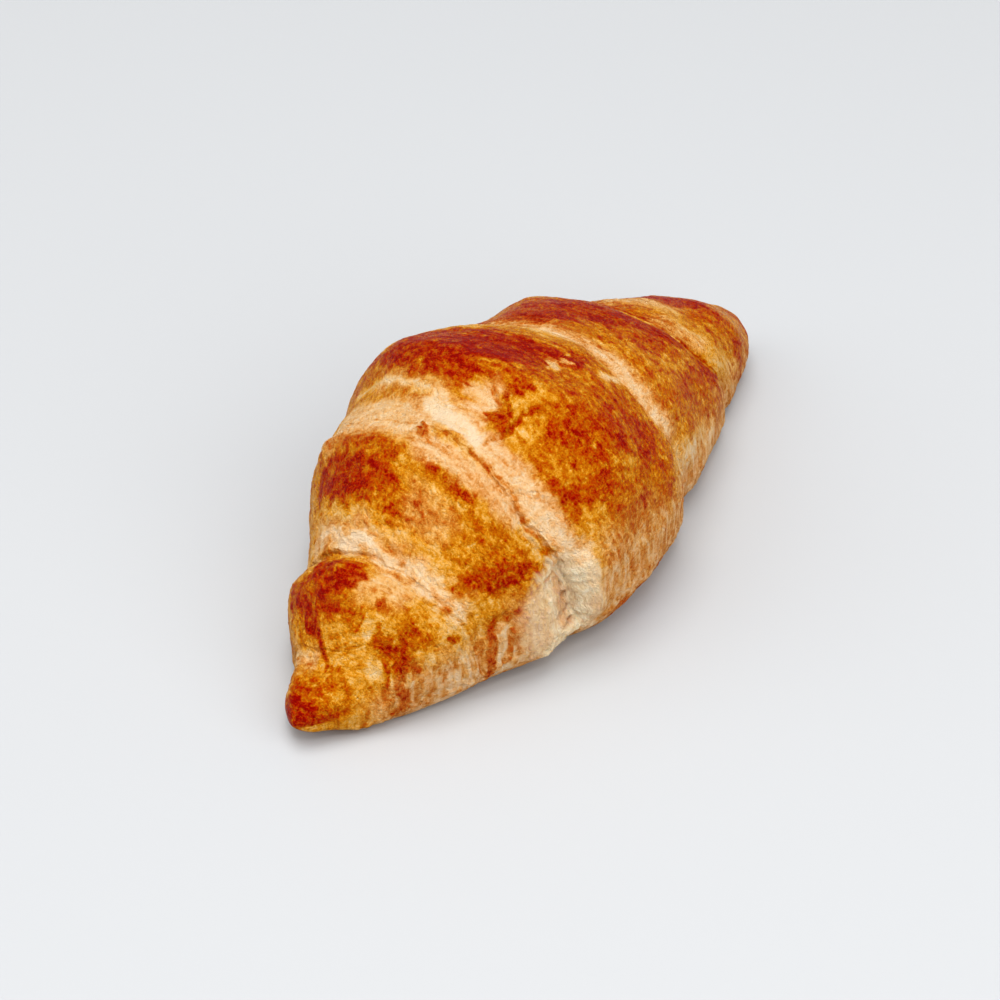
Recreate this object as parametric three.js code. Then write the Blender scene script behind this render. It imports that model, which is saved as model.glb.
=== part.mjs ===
// Butter croissant, millimetres, +Z up.
// Origin: middle of the bounding box on the ground. +X runs along the roll to its blunter tip.
// -Y is the flank with the torn opening, +Y the plain flank.
// The body is one closed skin: rings around the roll, grouped in six wraps that overlap like tiles.
import * as THREE from 'three';

// overall
const NEAR_TIP_X = -77;
const FAR_TIP_X = 82;
const NEAR_TIP_ROUND = 3.5;
const FAR_TIP_ROUND = 5.5;
const WAIST = 0.37; // widest point of a section, as a share of its height
const SIDE_POWER = 2 / 2.3; // roundness of the sides above the waist, and of the top
const TOP_POWER = 2 / 2.1;
const SOLE_POWER = 2 / 3.4; // roundness below the waist, squarer than above

// plain body under the wraps: x, half width, y of the middle, z of the lowest point, slide along x
const STATIONS = [
  [-77, 2.3, 1.2, 4.5, 0],
  [-72, 5.6, 2.3, 2.1, 0],
  [-65, 11.1, 2.6, -0.9, 0.6],
  [-58, 17.2, 3.1, -0.9, 1.1],
  [-50, 20.3, 3.0, -1.6, 1.5],
  [-42, 25.1, 3.9, -1.6, 1.8],
  [-34, 30.3, 4.9, -1.6, 2.2],
  [-24, 32.7, 3.9, -1.6, 2.5],
  [-12, 35.9, 6.1, -1.6, 2.8],
  [0, 33.9, 5.6, -1.6, 2.7],
  [12, 31.0, 6.1, -1.6, 2.6],
  [24, 28.1, 8.0, -1.6, 2.5],
  [36, 24.0, 8.5, -1.6, 2.3],
  [46, 20.4, 8.1, -1.6, 2.1],
  [56, 16.3, 7.4, -0.9, 1.4],
  [66, 12.4, 7.2, 0.3, 0.9],
  [75, 7.6, 7.0, 1.0, 0.5],
  [82, 3.8, 7.1, 2.6, 0.2],
];

// height of a section as a share of its full width, along x
const HEIGHT_RATIO = [
  [-77, 0.86],
  [-60, 0.8],
  [-30, 0.74],
  [0, 0.72],
  [30, 0.74],
  [60, 0.8],
  [82, 0.86],
];

// Edges between wraps, from the near tip to the far one.
// Lists go round in steps of 45 degrees from straight below, by way of the -Y flank and the top.
// at: x of the edge; depth: valley in mm; lip: step in mm
// over: +1 where the wrap on the +x side lies on top, -1 where the other one does
// rise and fade: how far the upper and the lower wrap take to leave the valley
const EDGES = [
  {
    at: [-62, -60, -60, -61, -65.3, -65.2, -64.5, -63],
    depth: [0.4, 0.5, 0.7, 1, 1.8, 2.3, 2.2, 0.9],
    lip: [0.1, 0.05, 0.05, 0.08, 0.3, 0.6, 0.6, 0.3],
    over: 1,
    rise: 4,
    fade: 6,
  },
  {
    at: [-47, -45.6, -47, -49.5, -50.3, -51.2, -51, -49],
    depth: [0.6, 0.3, 0.5, 1.2, 2.8, 3.2, 3, 1.2],
    lip: [0.1, 0.05, 0.05, 0.1, 0.7, 1, 1, 0.5],
    over: 1,
    rise: 5,
    fade: 5,
  },
  {
    at: [-26, -25, -26.6, -31.6, -30, -31.6, -32, -29],
    depth: [0.5, 0.6, 1.4, 1.3, 1.2, 1.2, 1.4, 0.9],
    lip: [0.2, 0.5, 0.6, 0.35, 0.1, 0.1, 0.5, 0.4],
    over: 1,
    rise: 4.5,
    fade: 6,
  },
  {
    at: [21, 19.5, 16, 9, 10.3, 0, -3, 8],
    depth: [0.5, 1.7, 2.2, 2.2, 2.4, 2.4, 2.4, 1],
    lip: [0.3, 1, 1.3, 1.3, 1.3, 1.2, 1.3, 0.6],
    over: -1,
    rise: 4.5,
    fade: 7,
  },
  {
    at: [53, 53, 51, 43, 35.8, 38, 38, 45],
    depth: [0.5, 1.9, 2.4, 2.4, 2.4, 2.4, 2.4, 1],
    lip: [0.3, 1.1, 1.3, 1.3, 1.4, 1.4, 1.4, 0.6],
    over: -1,
    rise: 4,
    fade: 6.5,
  },
];
const LIP_FADE = 12;
const LIP_ROUND = 0.7;
const LIP_ROUND_SHARE = 0.45;
const LIP_GAP = 0.4;
const LIP_REACH = 0.6;
const LEAN_FROM = -0.2; // sine of the direction around, below this a lip doesn't lean
const LEAN_FULL = 0.4;

// torn opening in the -Y flank, on the underlying side of the third edge
const OPENING_EDGE = 2;
const OPENING_FROM = -4;
const OPENING_TO = 14;
const OPENING_BLEND = 9;
const OPENING_DEPTH = 2.4;
const OPENING_WIDTH = 4.6;

// its lip on the overlying side: a dip beside the edge, then a rounded roll
const LIP_DIP = 1.9;
const LIP_DIP_WIDTH = 1.4;
const LIP_ROLL = 1.3;
const LIP_ROLL_AT = 2.8;
const LIP_ROLL_WIDTH = 2.4;

// the opening carries on over the top as a narrow crack beside the same edge
const CRACK_FROM = 30;
const CRACK_TO = 84;
const CRACK_BLEND = 8;
const CRACK_DEPTH = 0.25;
const CRACK_WIDTH = 1.2;

// raised flakes and sunken scars: x, degrees around, half sizes along and around in mm, height in mm
const FLAKES = [
  { x: -22.2, turn: 77, along: 2.6, around: 2.2, height: 1.2 },
  { x: -19.5, turn: 85, along: 4.2, around: 4.6, height: -0.8 },
  { x: -29.2, turn: 90, along: 1.7, around: 3.2, height: 1.2 },
  { x: -35.4, turn: 143, along: 2.4, around: 3.4, height: 1.2 },
  { x: -33.4, turn: -24, along: 2.6, around: 2.2, height: 0.7 },
  { x: -1.6, turn: 79, along: 2.4, around: 2.6, height: -0.5 },
  { x: -54.5, turn: 97, along: 3.4, around: 4.2, height: 1.2 },
  { x: -57.5, turn: 130, along: 4.5, around: 9, height: 0.8 },
  { x: -38.5, turn: 30, along: 4.5, around: 8, height: 0.7 },
];

// slow unevenness of the crust: waves per mm along x, whole waves around, phase, height in mm
const WAVES = [
  { along: 0.26, around: 3, phase: 0.4, height: 0.22 },
  { along: -0.19, around: 5, phase: 1.9, height: 0.2 },
  { along: 0.41, around: 2, phase: 4.1, height: 0.14 },
  { along: 0.33, around: -7, phase: 2.6, height: 0.13 },
];

// how finely the skin is cut
const ROWS_PER_WRAP = [15, 12, 16, 24, 17, 17];
const ROW_CROWDING = 0.8;
const TOP_COLUMNS = 44;
const SOLE_COLUMNS = 12;
const SOLE_FROM = 205;
const SOLE_TO = 335;
const LEAST_RADIUS = 9;

const DEGREE = Math.PI / 180;
const TURN = 360;

// smooth curve through rows of a table, without overshoot
function along(table, column, x) {
  const last = table.length - 1;
  let i = 0;
  while (i < last - 1 && x >= table[i + 1][0]) {
    i += 1;
  }
  const width = (k) => table[k + 1][0] - table[k][0];
  const rise = (k) => (table[k + 1][column] - table[k][column]) / width(k);
  const slope = (k) => {
    if (k === 0) {
      return rise(0);
    }
    if (k === last) {
      return rise(last - 1);
    }
    const before = rise(k - 1);
    const after = rise(k);
    if (before * after <= 0) {
      return 0;
    }
    const a = 2 * width(k) + width(k - 1);
    const b = width(k) + 2 * width(k - 1);
    return (a + b) / (a / before + b / after);
  };
  const h = width(i);
  const t = Math.min(Math.max((x - table[i][0]) / h, 0), 1);
  const s = 1 - t;
  const start = (1 + 2 * t) * s * s * table[i][column] + t * s * s * h * slope(i);
  const end = t * t * (3 - 2 * t) * table[i + 1][column] - t * t * s * h * slope(i + 1);
  return start + end;
}

// smooth closed curve through values at equal steps of angle from straight below
function around(values, degrees) {
  const n = values.length;
  const place = (((degrees + 90) / TURN) * n) % n;
  const u = place < 0 ? place + n : place;
  const i = Math.floor(u) % n;
  const t = u - Math.floor(u);
  const a = values[(i + n - 1) % n];
  const b = values[i];
  const c = values[(i + 1) % n];
  const d = values[(i + 2) % n];
  const bend = (2 * a - 5 * b + 4 * c - d) * t * t + (3 * b - a - 3 * c + d) * t * t * t;
  return 0.5 * (2 * b + (c - a) * t + bend);
}

// 0 below from, 1 above to, smooth between
function ease(from, to, value) {
  const t = Math.min(Math.max((value - from) / (to - from), 0), 1);
  return t * t * (3 - 2 * t);
}

// 1 between from and to, fading to 0 over the blend on each side
function stretch(from, to, blend, value) {
  return ease(from - blend, from, value) * (1 - ease(to, to + blend, value));
}

// angle brought to the range that starts straight below
function fromBelow(degrees) {
  return ((((degrees + 90) % TURN) + TURN) % TURN) - 90;
}

function isOver(edge, index, wrap) {
  return edge.over > 0 ? wrap > index : wrap <= index;
}

// height of the skin over the plain body, in mm
function relief(x, degrees, wrap, radius) {
  const turn = fromBelow(degrees);
  let height = 0;
  EDGES.forEach((edge, index) => {
    const away = Math.abs(x - around(edge.at, turn));
    const depth = around(edge.depth, turn);
    if (isOver(edge, index, wrap)) {
      const lip = Math.exp(-away / LIP_FADE) - LIP_ROUND_SHARE * Math.exp(-away / LIP_ROUND);
      height += around(edge.lip, turn) * lip - depth * Math.exp(-away / edge.rise);
    } else {
      height -= depth * Math.exp(-away / edge.fade);
    }
    if (index === OPENING_EDGE) {
      const open = stretch(OPENING_FROM, OPENING_TO, OPENING_BLEND, turn);
      const crack = stretch(CRACK_FROM, CRACK_TO, CRACK_BLEND, turn);
      if (isOver(edge, index, wrap)) {
        const roll = LIP_ROLL * Math.exp(-(((away - LIP_ROLL_AT) / LIP_ROLL_WIDTH) ** 2));
        const dip = LIP_DIP * Math.exp(-((away / LIP_DIP_WIDTH) ** 2));
        height += open * (roll - dip);
      } else {
        height -= open * OPENING_DEPTH * Math.exp(-((away / OPENING_WIDTH) ** 2));
        height -= crack * CRACK_DEPTH * Math.exp(-((away / CRACK_WIDTH) ** 2));
      }
    }
  });
  FLAKES.forEach((flake) => {
    const dx = (x - flake.x) / flake.along;
    const da = ((turn - flake.turn) * DEGREE * radius) / flake.around;
    height += flake.height * Math.exp(-dx * dx - da * da);
  });
  WAVES.forEach((wave) => {
    height += wave.height * Math.sin(wave.along * x + wave.around * turn * DEGREE + wave.phase);
  });
  return height;
}

// how far a lip leans over the wrap under it, none on the sole
function lipReach(x, degrees, wrap, upness) {
  const turn = fromBelow(degrees);
  let reach = 0;
  EDGES.forEach((edge, index) => {
    if (isOver(edge, index, wrap)) {
      const away = Math.abs(x - around(edge.at, turn));
      const lean = LIP_REACH * Math.min(around(edge.lip, turn), 1) * Math.exp(-away / LIP_ROUND);
      reach -= edge.over * lean * ease(LEAN_FROM, LEAN_FULL, upness);
    }
  });
  return reach;
}

function signedPower(value, power) {
  return Math.sign(value) * Math.abs(value) ** power;
}

// share of the section left near the two rounded tips
function tipShare(x) {
  const near = Math.max((NEAR_TIP_X + NEAR_TIP_ROUND - x) / NEAR_TIP_ROUND, 0);
  const far = Math.max((x - FAR_TIP_X + FAR_TIP_ROUND) / FAR_TIP_ROUND, 0);
  return Math.sqrt(Math.max(1 - near * near, 0)) * Math.sqrt(Math.max(1 - far * far, 0));
}

function skinPoint(x, degrees, wrap) {
  const halfWidth = along(STATIONS, 1, x);
  const height = 2 * halfWidth * along(HEIGHT_RATIO, 1, x);
  const waist = WAIST * height;
  const c = Math.cos(degrees * DEGREE);
  const s = Math.sin(degrees * DEGREE);
  const y = -signedPower(c, s > 0 ? SIDE_POWER : SOLE_POWER) * halfWidth;
  const z = s > 0 ? s ** TOP_POWER * (height - waist) : -(Math.abs(s) ** SOLE_POWER) * waist;
  const raise = relief(x, degrees, wrap, halfWidth) / Math.max(halfWidth, LEAST_RADIUS);
  const share = tipShare(x) * (1 + raise);
  const middleY = along(STATIONS, 2, x);
  const middleZ = waist + along(STATIONS, 3, x);
  const slide = along(STATIONS, 4, x) + lipReach(x, degrees, wrap, s);
  return [x + slide, middleY + y * share, Math.max(middleZ + z * share, 0)];
}

// directions around the roll, closer together over the top than on the sole
function columnAngles() {
  const angles = [];
  for (let i = 0; i < SOLE_COLUMNS; i += 1) {
    angles.push(SOLE_FROM + ((SOLE_TO - SOLE_FROM) * i) / SOLE_COLUMNS);
  }
  for (let i = 0; i < TOP_COLUMNS; i += 1) {
    angles.push(SOLE_TO + ((TURN - SOLE_TO + SOLE_FROM) * i) / TOP_COLUMNS);
  }
  return angles;
}

function skinGeometry() {
  const angles = columnAngles();
  const columns = angles.length;
  const points = [];
  const wraps = EDGES.length + 1;
  for (let wrap = 0; wrap < wraps; wrap += 1) {
    const rows = ROWS_PER_WRAP[wrap];
    const before = EDGES[wrap - 1];
    const after = EDGES[wrap];
    for (let row = 0; row <= rows; row += 1) {
      const atTip = (wrap === 0 && row === 0) || (wrap === wraps - 1 && row === rows);
      if (!atTip) {
        const u = row / rows;
        const even = u - (ROW_CROWDING * Math.sin(2 * Math.PI * u)) / (2 * Math.PI);
        for (let column = 0; column < columns; column += 1) {
          const turn = fromBelow(angles[column]);
          let from = NEAR_TIP_X;
          let to = FAR_TIP_X;
          if (before) {
            from = around(before.at, turn) + (before.over > 0 ? LIP_GAP : 0);
          }
          if (after) {
            to = around(after.at, turn) - (after.over < 0 ? LIP_GAP : 0);
          }
          points.push(...skinPoint(from + (to - from) * even, angles[column], wrap));
        }
      }
    }
  }
  const rings = points.length / 3 / columns;
  const nearTip = rings * columns;
  const farTip = nearTip + 1;
  points.push(...skinPoint(NEAR_TIP_X, 0, 0));
  points.push(...skinPoint(FAR_TIP_X, 0, wraps - 1));
  const faces = [];
  for (let column = 0; column < columns; column += 1) {
    const next = (column + 1) % columns;
    faces.push(nearTip, column, next);
    for (let ring = 0; ring < rings - 1; ring += 1) {
      const a = ring * columns + column;
      const b = ring * columns + next;
      faces.push(a, b + columns, b);
      faces.push(a, a + columns, b + columns);
    }
    const lastRing = (rings - 1) * columns;
    faces.push(farTip, lastRing + next, lastRing + column);
  }
  const geometry = new THREE.BufferGeometry();
  geometry.setAttribute('position', new THREE.Float32BufferAttribute(points, 3));
  geometry.setIndex(faces);
  geometry.computeVertexNormals();
  return geometry;
}

const crust = new THREE.MeshStandardMaterial({ color: 0xc98a45, roughness: 0.5 });
crust.name = 'crust';
// the box around the body is centred on the origin
const skin = skinGeometry();
skin.computeBoundingBox();
const middle = skin.boundingBox.getCenter(new THREE.Vector3());
skin.translate(-middle.x, -middle.y, 0);
const croissant = new THREE.Mesh(skin, crust);
croissant.name = 'croissant';
const part = new THREE.Group();
part.name = 'butter_croissant';
part.add(croissant);

export default part;
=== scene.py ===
import bpy
import numpy as np
from mathutils import Matrix, Vector


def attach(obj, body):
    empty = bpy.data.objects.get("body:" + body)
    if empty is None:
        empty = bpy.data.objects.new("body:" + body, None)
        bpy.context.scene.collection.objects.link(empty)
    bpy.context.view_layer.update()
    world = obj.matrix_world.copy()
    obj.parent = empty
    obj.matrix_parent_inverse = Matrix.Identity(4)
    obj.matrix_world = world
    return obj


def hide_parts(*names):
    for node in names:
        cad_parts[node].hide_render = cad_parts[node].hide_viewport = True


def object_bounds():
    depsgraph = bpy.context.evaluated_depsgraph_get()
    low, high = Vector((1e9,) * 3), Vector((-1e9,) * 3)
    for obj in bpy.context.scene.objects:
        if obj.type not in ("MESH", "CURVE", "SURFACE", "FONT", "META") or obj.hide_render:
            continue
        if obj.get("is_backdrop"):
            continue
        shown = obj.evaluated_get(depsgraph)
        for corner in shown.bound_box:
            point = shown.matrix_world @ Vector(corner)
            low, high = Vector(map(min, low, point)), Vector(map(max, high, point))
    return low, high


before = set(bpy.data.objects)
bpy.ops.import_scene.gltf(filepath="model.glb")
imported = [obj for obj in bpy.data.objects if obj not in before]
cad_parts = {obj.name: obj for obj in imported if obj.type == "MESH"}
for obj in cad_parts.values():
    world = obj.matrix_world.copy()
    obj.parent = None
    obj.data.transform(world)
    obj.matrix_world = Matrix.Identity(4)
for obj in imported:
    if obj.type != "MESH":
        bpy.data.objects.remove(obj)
cad_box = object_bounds()
MM = 0.001


# The body, from the same named sizes as the solid.
# Stations run along the roll. Angles run round it: 0 faces the camera's side, 90 is the top.
MIDDLE_OF_BOX = (2.6, 6.171)
NEAR_TIP_X = -77.0
FAR_TIP_X = 82.0
NEAR_TIP_ROUND = 3.5
FAR_TIP_ROUND = 5.5
WAIST = 0.37
SIDE_POWER = 2 / 2.3
TOP_POWER = 2 / 2.1
SOLE_POWER = 2 / 3.4
STATIONS = [
    # x, half width, middle y, lowest z, slide along the roll
    (-77, 2.3, 1.2, 4.5, 0),
    (-72, 5.6, 2.3, 2.1, 0),
    (-65, 11.1, 2.6, -0.9, 0.6),
    (-58, 17.2, 3.1, -0.9, 1.1),
    (-50, 20.3, 3, -1.6, 1.5),
    (-42, 25.1, 3.9, -1.6, 1.8),
    (-34, 30.3, 4.9, -1.6, 2.2),
    (-24, 32.7, 3.9, -1.6, 2.5),
    (-12, 35.9, 6.1, -1.6, 2.8),
    (0, 33.9, 5.6, -1.6, 2.7),
    (12, 31, 6.1, -1.6, 2.6),
    (24, 28.1, 8, -1.6, 2.5),
    (36, 24, 8.5, -1.6, 2.3),
    (46, 20.4, 8.1, -1.6, 2.1),
    (56, 16.3, 7.4, -0.9, 1.4),
    (66, 12.4, 7.2, 0.3, 0.9),
    (75, 7.6, 7, 1, 0.5),
    (82, 3.8, 7.1, 2.6, 0.2),
]
HEIGHT_RATIO = [(-77, 0.86), (-60, 0.8), (-30, 0.74), (0, 0.72), (30, 0.74), (60, 0.8), (82, 0.86)]
# Where one wrap ends over the next: eight values round the roll, from straight below it in steps
# of 45 degrees. over is 1 where the wrap on the far side lies on top, and -1 where the near one does.
EDGES = [
    {
        "at": [-62, -60, -60, -61, -65.3, -65.2, -64.5, -63],
        "depth": [0.4, 0.5, 0.7, 1.0, 1.8, 2.3, 2.2, 0.9],
        "lip": [0.1, 0.05, 0.05, 0.08, 0.3, 0.6, 0.6, 0.3],
        "over": 1,
        "rise": 4.0,
        "fade": 6.0,
    },
    {
        "at": [-47, -45.6, -47, -49.5, -50.3, -51.2, -51, -49],
        "depth": [0.6, 0.3, 0.5, 1.2, 2.8, 3.2, 3.0, 1.2],
        "lip": [0.1, 0.05, 0.05, 0.1, 0.7, 1.0, 1.0, 0.5],
        "over": 1,
        "rise": 5.0,
        "fade": 5.0,
    },
    {
        "at": [-26, -25, -26.6, -31.6, -30, -31.6, -32, -29],
        "depth": [0.5, 0.6, 1.4, 1.3, 1.2, 1.2, 1.4, 0.9],
        "lip": [0.2, 0.5, 0.6, 0.35, 0.1, 0.1, 0.5, 0.4],
        "over": 1,
        "rise": 4.5,
        "fade": 6.0,
    },
    {
        "at": [21, 19.5, 16, 9, 10.3, 0, -3, 8],
        "depth": [0.5, 1.7, 2.2, 2.2, 2.4, 2.4, 2.4, 1.0],
        "lip": [0.3, 1.0, 1.3, 1.3, 1.3, 1.2, 1.3, 0.6],
        "over": -1,
        "rise": 4.5,
        "fade": 7.0,
    },
    {
        "at": [53, 53, 51, 43, 35.8, 38, 38, 45],
        "depth": [0.5, 1.9, 2.4, 2.4, 2.4, 2.4, 2.4, 1.0],
        "lip": [0.3, 1.1, 1.3, 1.3, 1.4, 1.4, 1.4, 0.6],
        "over": -1,
        "rise": 4.0,
        "fade": 6.5,
    },
]
LIP_FADE = 12.0
SOFT_VALLEY = 1.0
SHARP_LIP = 0.6
MOST_SHARPENED = 0.9
# bites torn out of each edge: their depth, then their size, how far apart edges lie in the noise,
# and how much finer and weaker the second layer is
RAGGED = [0.2, 0.35, 0.55, 0.4, 0.35]
RAGGED_SIZE = 3.2
RAGGED_SPACING = 3.7
RAGGED_FINER = 2.6
RAGGED_FINER_SHARE = 0.7
RAGGED_SEEDS = (91, 92)
LIP_ROUND = 0.7
LIP_ROUND_SHARE = 0.45
LIP_GAP = 0.4
LIP_REACH = 0.6
# sines of the angle round the roll between which the lips begin to lean
LEANING = (-0.2, 0.4)
LEAST_RADIUS = 9
TORN_EDGE = 2
OPENING = {"start": -4, "end": 14, "blend": 9, "depth": 2.4, "width": 4.6}
OPENING_LIP = {"dip": 1.9, "dip_width": 1.4, "roll": 1.3, "roll_at": 2.8, "roll_width": 2.4}
CRACK = {"start": 30, "end": 84, "blend": 8, "depth": 0.25, "width": 1.2}
FLAKES = [
    # x, degrees round, half length, half width, height
    (-22.2, 77, 2.6, 2.2, 1.2),
    (-19.5, 85, 4.2, 4.6, -0.8),
    (-29.2, 90, 1.7, 3.2, 1.2),
    (-35.4, 143, 2.4, 3.4, 1.2),
    (-33.4, -24, 2.6, 2.2, 0.7),
    (-1.6, 79, 2.4, 2.6, -0.5),
    (-54.5, 97, 3.4, 4.2, 1.2),
    (-57.5, 130, 4.5, 9, 0.8),
    (-38.5, 30, 4.5, 8, 0.7),
]
WAVES = [
    # turns per mm along, turns round, phase, height
    (0.26, 3, 0.4, 0.22),
    (-0.19, 5, 1.9, 0.2),
    (0.41, 2, 4.1, 0.14),
    (0.33, -7, 2.6, 0.13),
]


def column(rows, index):
    return [row[index] for row in rows]


def along(places, values, x):
    """A smooth curve through the values, with no overshoot between them."""
    places = np.asarray(places, float)
    values = np.asarray(values, float)
    gaps = np.diff(places)
    rises = np.diff(values) / gaps
    slopes = np.zeros(len(places))
    before = 2 * gaps[1:] + gaps[:-1]
    after = gaps[1:] + 2 * gaps[:-1]
    with np.errstate(divide="ignore", invalid="ignore"):
        middle = (before + after) / (before / rises[:-1] + after / rises[1:])
    slopes[1:-1] = np.where(rises[:-1] * rises[1:] > 0, middle, 0)
    slopes[0] = rises[0]
    slopes[-1] = rises[-1]
    i = np.clip(np.searchsorted(places, x, side="right") - 1, 0, len(places) - 2)
    t = np.clip((x - places[i]) / gaps[i], 0, 1)
    left = 1 - t
    start = (1 + 2 * t) * left * left * values[i] + t * left * left * gaps[i] * slopes[i]
    end = t * t * (3 - 2 * t) * values[i + 1] - t * t * left * gaps[i] * slopes[i + 1]
    return start + end


def around(values, turn):
    """A smooth closed curve through values spaced evenly round the roll from straight below."""
    values = np.asarray(values, float)
    count = len(values)
    u = ((turn + 90) / 360 * count) % count
    i = np.floor(u).astype(int) % count
    t = u - np.floor(u)
    a = values[(i - 1) % count]
    b = values[i]
    c = values[(i + 1) % count]
    d = values[(i + 2) % count]
    curved = (2 * a - 5 * b + 4 * c - d) * t * t
    return 0.5 * (2 * b + (c - a) * t + curved + (3 * b - a - 3 * c + d) * t**3)


def ease(low, high, value):
    t = np.clip((value - low) / (high - low), 0, 1)
    return t * t * (3 - 2 * t)


def stretch(span, value):
    rising = ease(span["start"] - span["blend"], span["start"], value)
    return rising * (1 - ease(span["end"], span["end"] + span["blend"], value))


def half_width(x):
    return along(column(STATIONS, 0), column(STATIONS, 1), x)


def is_over(index, wrap):
    return (wrap > index) if EDGES[index]["over"] > 0 else (wrap <= index)


def edge_at(index, turn):
    """x of an edge, with small bites torn out of it."""
    smooth = around(EDGES[index]["at"], turn)
    radius = half_width(smooth) / RAGGED_SIZE
    angle = np.radians(turn)
    apart = np.full(turn.shape, RAGGED_SPACING * index)
    place = np.stack([np.cos(angle) * radius, np.sin(angle) * radius, apart], -1)
    finer = RAGGED_FINER_SHARE * noise(place * RAGGED_FINER, RAGGED_SEEDS[1])
    return smooth + RAGGED[index] * (noise(place, RAGGED_SEEDS[0]) + finer)


def away_from(index, x, turn):
    return np.abs(x - edge_at(index, turn))


def hump(height, distance, width):
    return height * np.exp(-((distance / width) ** 2))


def opening_lip(away):
    """The rounded lip of the opening, which dips to meet the torn dough."""
    roll = hump(OPENING_LIP["roll"], away - OPENING_LIP["roll_at"], OPENING_LIP["roll_width"])
    return roll - hump(OPENING_LIP["dip"], away, OPENING_LIP["dip_width"])


def main_relief(x, turn, wrap, radius):
    """Lips, folds, the torn opening, large flakes and slow waves: what the solid has too."""
    height = np.zeros(x.shape)
    for index, edge in enumerate(EDGES):
        away = away_from(index, x, turn)
        depth = around(edge["depth"], turn)
        lip = around(edge["lip"], turn)
        rounded = np.exp(-away / LIP_FADE) - LIP_ROUND_SHARE * np.exp(-away / LIP_ROUND)
        soft = SOFT_VALLEY * (1 - np.clip(lip / SHARP_LIP, 0, MOST_SHARPENED))
        valley = np.sqrt(away**2 + soft**2) - soft
        over = lip * rounded - depth * np.exp(-valley / edge["rise"])
        under = -depth * np.exp(-valley / edge["fade"])
        if index == TORN_EDGE:
            over = over + stretch(OPENING, turn) * opening_lip(away)
            for torn in (OPENING, CRACK):
                under = under - hump(stretch(torn, turn) * torn["depth"], away, torn["width"])
        height += np.where(is_over(index, wrap), over, under)
    for at, degrees, length, width, rise in FLAKES:
        sideways = np.radians(turn - degrees) * radius / width
        height += rise * np.exp(-(((x - at) / length) ** 2) - sideways**2)
    for pitch, turns, phase, rise in WAVES:
        height += rise * np.sin(pitch * x + turns * np.radians(turn) + phase)
    return height


def signed_power(value, power):
    return np.sign(value) * np.abs(value) ** power


def tip_share(x):
    near = np.maximum((NEAR_TIP_X + NEAR_TIP_ROUND - x) / NEAR_TIP_ROUND, 0)
    far = np.maximum((x - FAR_TIP_X + FAR_TIP_ROUND) / FAR_TIP_ROUND, 0)
    return np.sqrt(np.maximum(1 - near**2, 0)) * np.sqrt(np.maximum(1 - far**2, 0))


def lip_reach(x, turn, wrap):
    reach = np.zeros(x.shape)
    upward = ease(*LEANING, np.sin(np.radians(turn)))
    for index, edge in enumerate(EDGES):
        lip = np.minimum(around(edge["lip"], turn), 1)
        lean = LIP_REACH * upward * lip * np.exp(-away_from(index, x, turn) / LIP_ROUND)
        reach -= np.where(is_over(index, wrap), edge["over"] * lean, 0)
    return reach


def skin(x, turn, wrap, extra=0.0):
    """Points of the skin in metres, with extra millimetres of fine relief."""
    width = half_width(x)
    height = 2 * width * along(column(HEIGHT_RATIO, 0), column(HEIGHT_RATIO, 1), x)
    waist = WAIST * height
    cosine = np.cos(np.radians(turn))
    sine = np.sin(np.radians(turn))
    side = -signed_power(cosine, np.where(sine > 0, SIDE_POWER, SOLE_POWER)) * width
    top = signed_power(sine, TOP_POWER) * (height - waist)
    sole = signed_power(sine, SOLE_POWER) * waist
    rise = np.where(sine > 0, top, sole)
    relief = main_relief(x, turn, wrap, width) + extra
    share = tip_share(x) * (1 + relief / np.maximum(width, LEAST_RADIUS))
    middle = along(column(STATIONS, 0), column(STATIONS, 2), x)
    lowest = along(column(STATIONS, 0), column(STATIONS, 3), x)
    slide = along(column(STATIONS, 0), column(STATIONS, 4), x)
    px = x + slide + lip_reach(x, turn, wrap) - MIDDLE_OF_BOX[0]
    py = middle + side * share - MIDDLE_OF_BOX[1]
    pz = np.maximum(waist + lowest + rise * share, 0)
    return np.stack([px, py, pz], -1) * MM


# Smooth seeded noise, worked out for whole arrays of points at once.
HASH_FACTORS = (73856093, 19349663, 83492791, 2654435761)
HASH_MIXERS = (1274126177, 2246822519)
HASH_BITS = 0xFFFFFFFF
SLOPE_BITS = 10
SLOPE_MOST = 1023
NOISE_HEIGHT = 1.5
LAYER_FINER = 2.03
LAYER_SEED_STEP = 17
SWIRL_SIZE = 4.5


def hashed(ix, iy, iz, seed):
    h = seed * HASH_FACTORS[3]
    for value, factor in zip((ix, iy, iz), HASH_FACTORS):
        h = h ^ (value * factor)
    h &= HASH_BITS
    h = ((h ^ (h >> 13)) * HASH_MIXERS[0]) & HASH_BITS
    h = ((h ^ (h >> 16)) * HASH_MIXERS[1]) & HASH_BITS
    return h ^ (h >> 15)


def noise(points, seed=0):
    """About -1 to 1, with one hill or hollow to each unit of length."""
    cell = np.floor(points).astype(np.int64)
    inside = points - cell
    w = inside * inside * inside * (inside * (inside * 6 - 15) + 10)
    total = np.zeros(points.shape[:-1])
    for corner in np.ndindex(2, 2, 2):
        h = hashed(*(cell[..., k] + corner[k] for k in range(3)), seed)
        weight = 1.0
        slope = 0.0
        for k in range(3):
            weight = weight * (w[..., k] if corner[k] else 1 - w[..., k])
            tilt = ((h >> (SLOPE_BITS * k)) & SLOPE_MOST) / (SLOPE_MOST / 2) - 1
            slope = slope + tilt * (inside[..., k] - corner[k])
        total += weight * slope
    return total * NOISE_HEIGHT


def layered(points, layers, seed=0, gain=0.5):
    total = 0.0
    for i in range(layers):
        total = total + gain**i * noise(points * LAYER_FINER**i, seed + LAYER_SEED_STEP * i)
    return total


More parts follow.
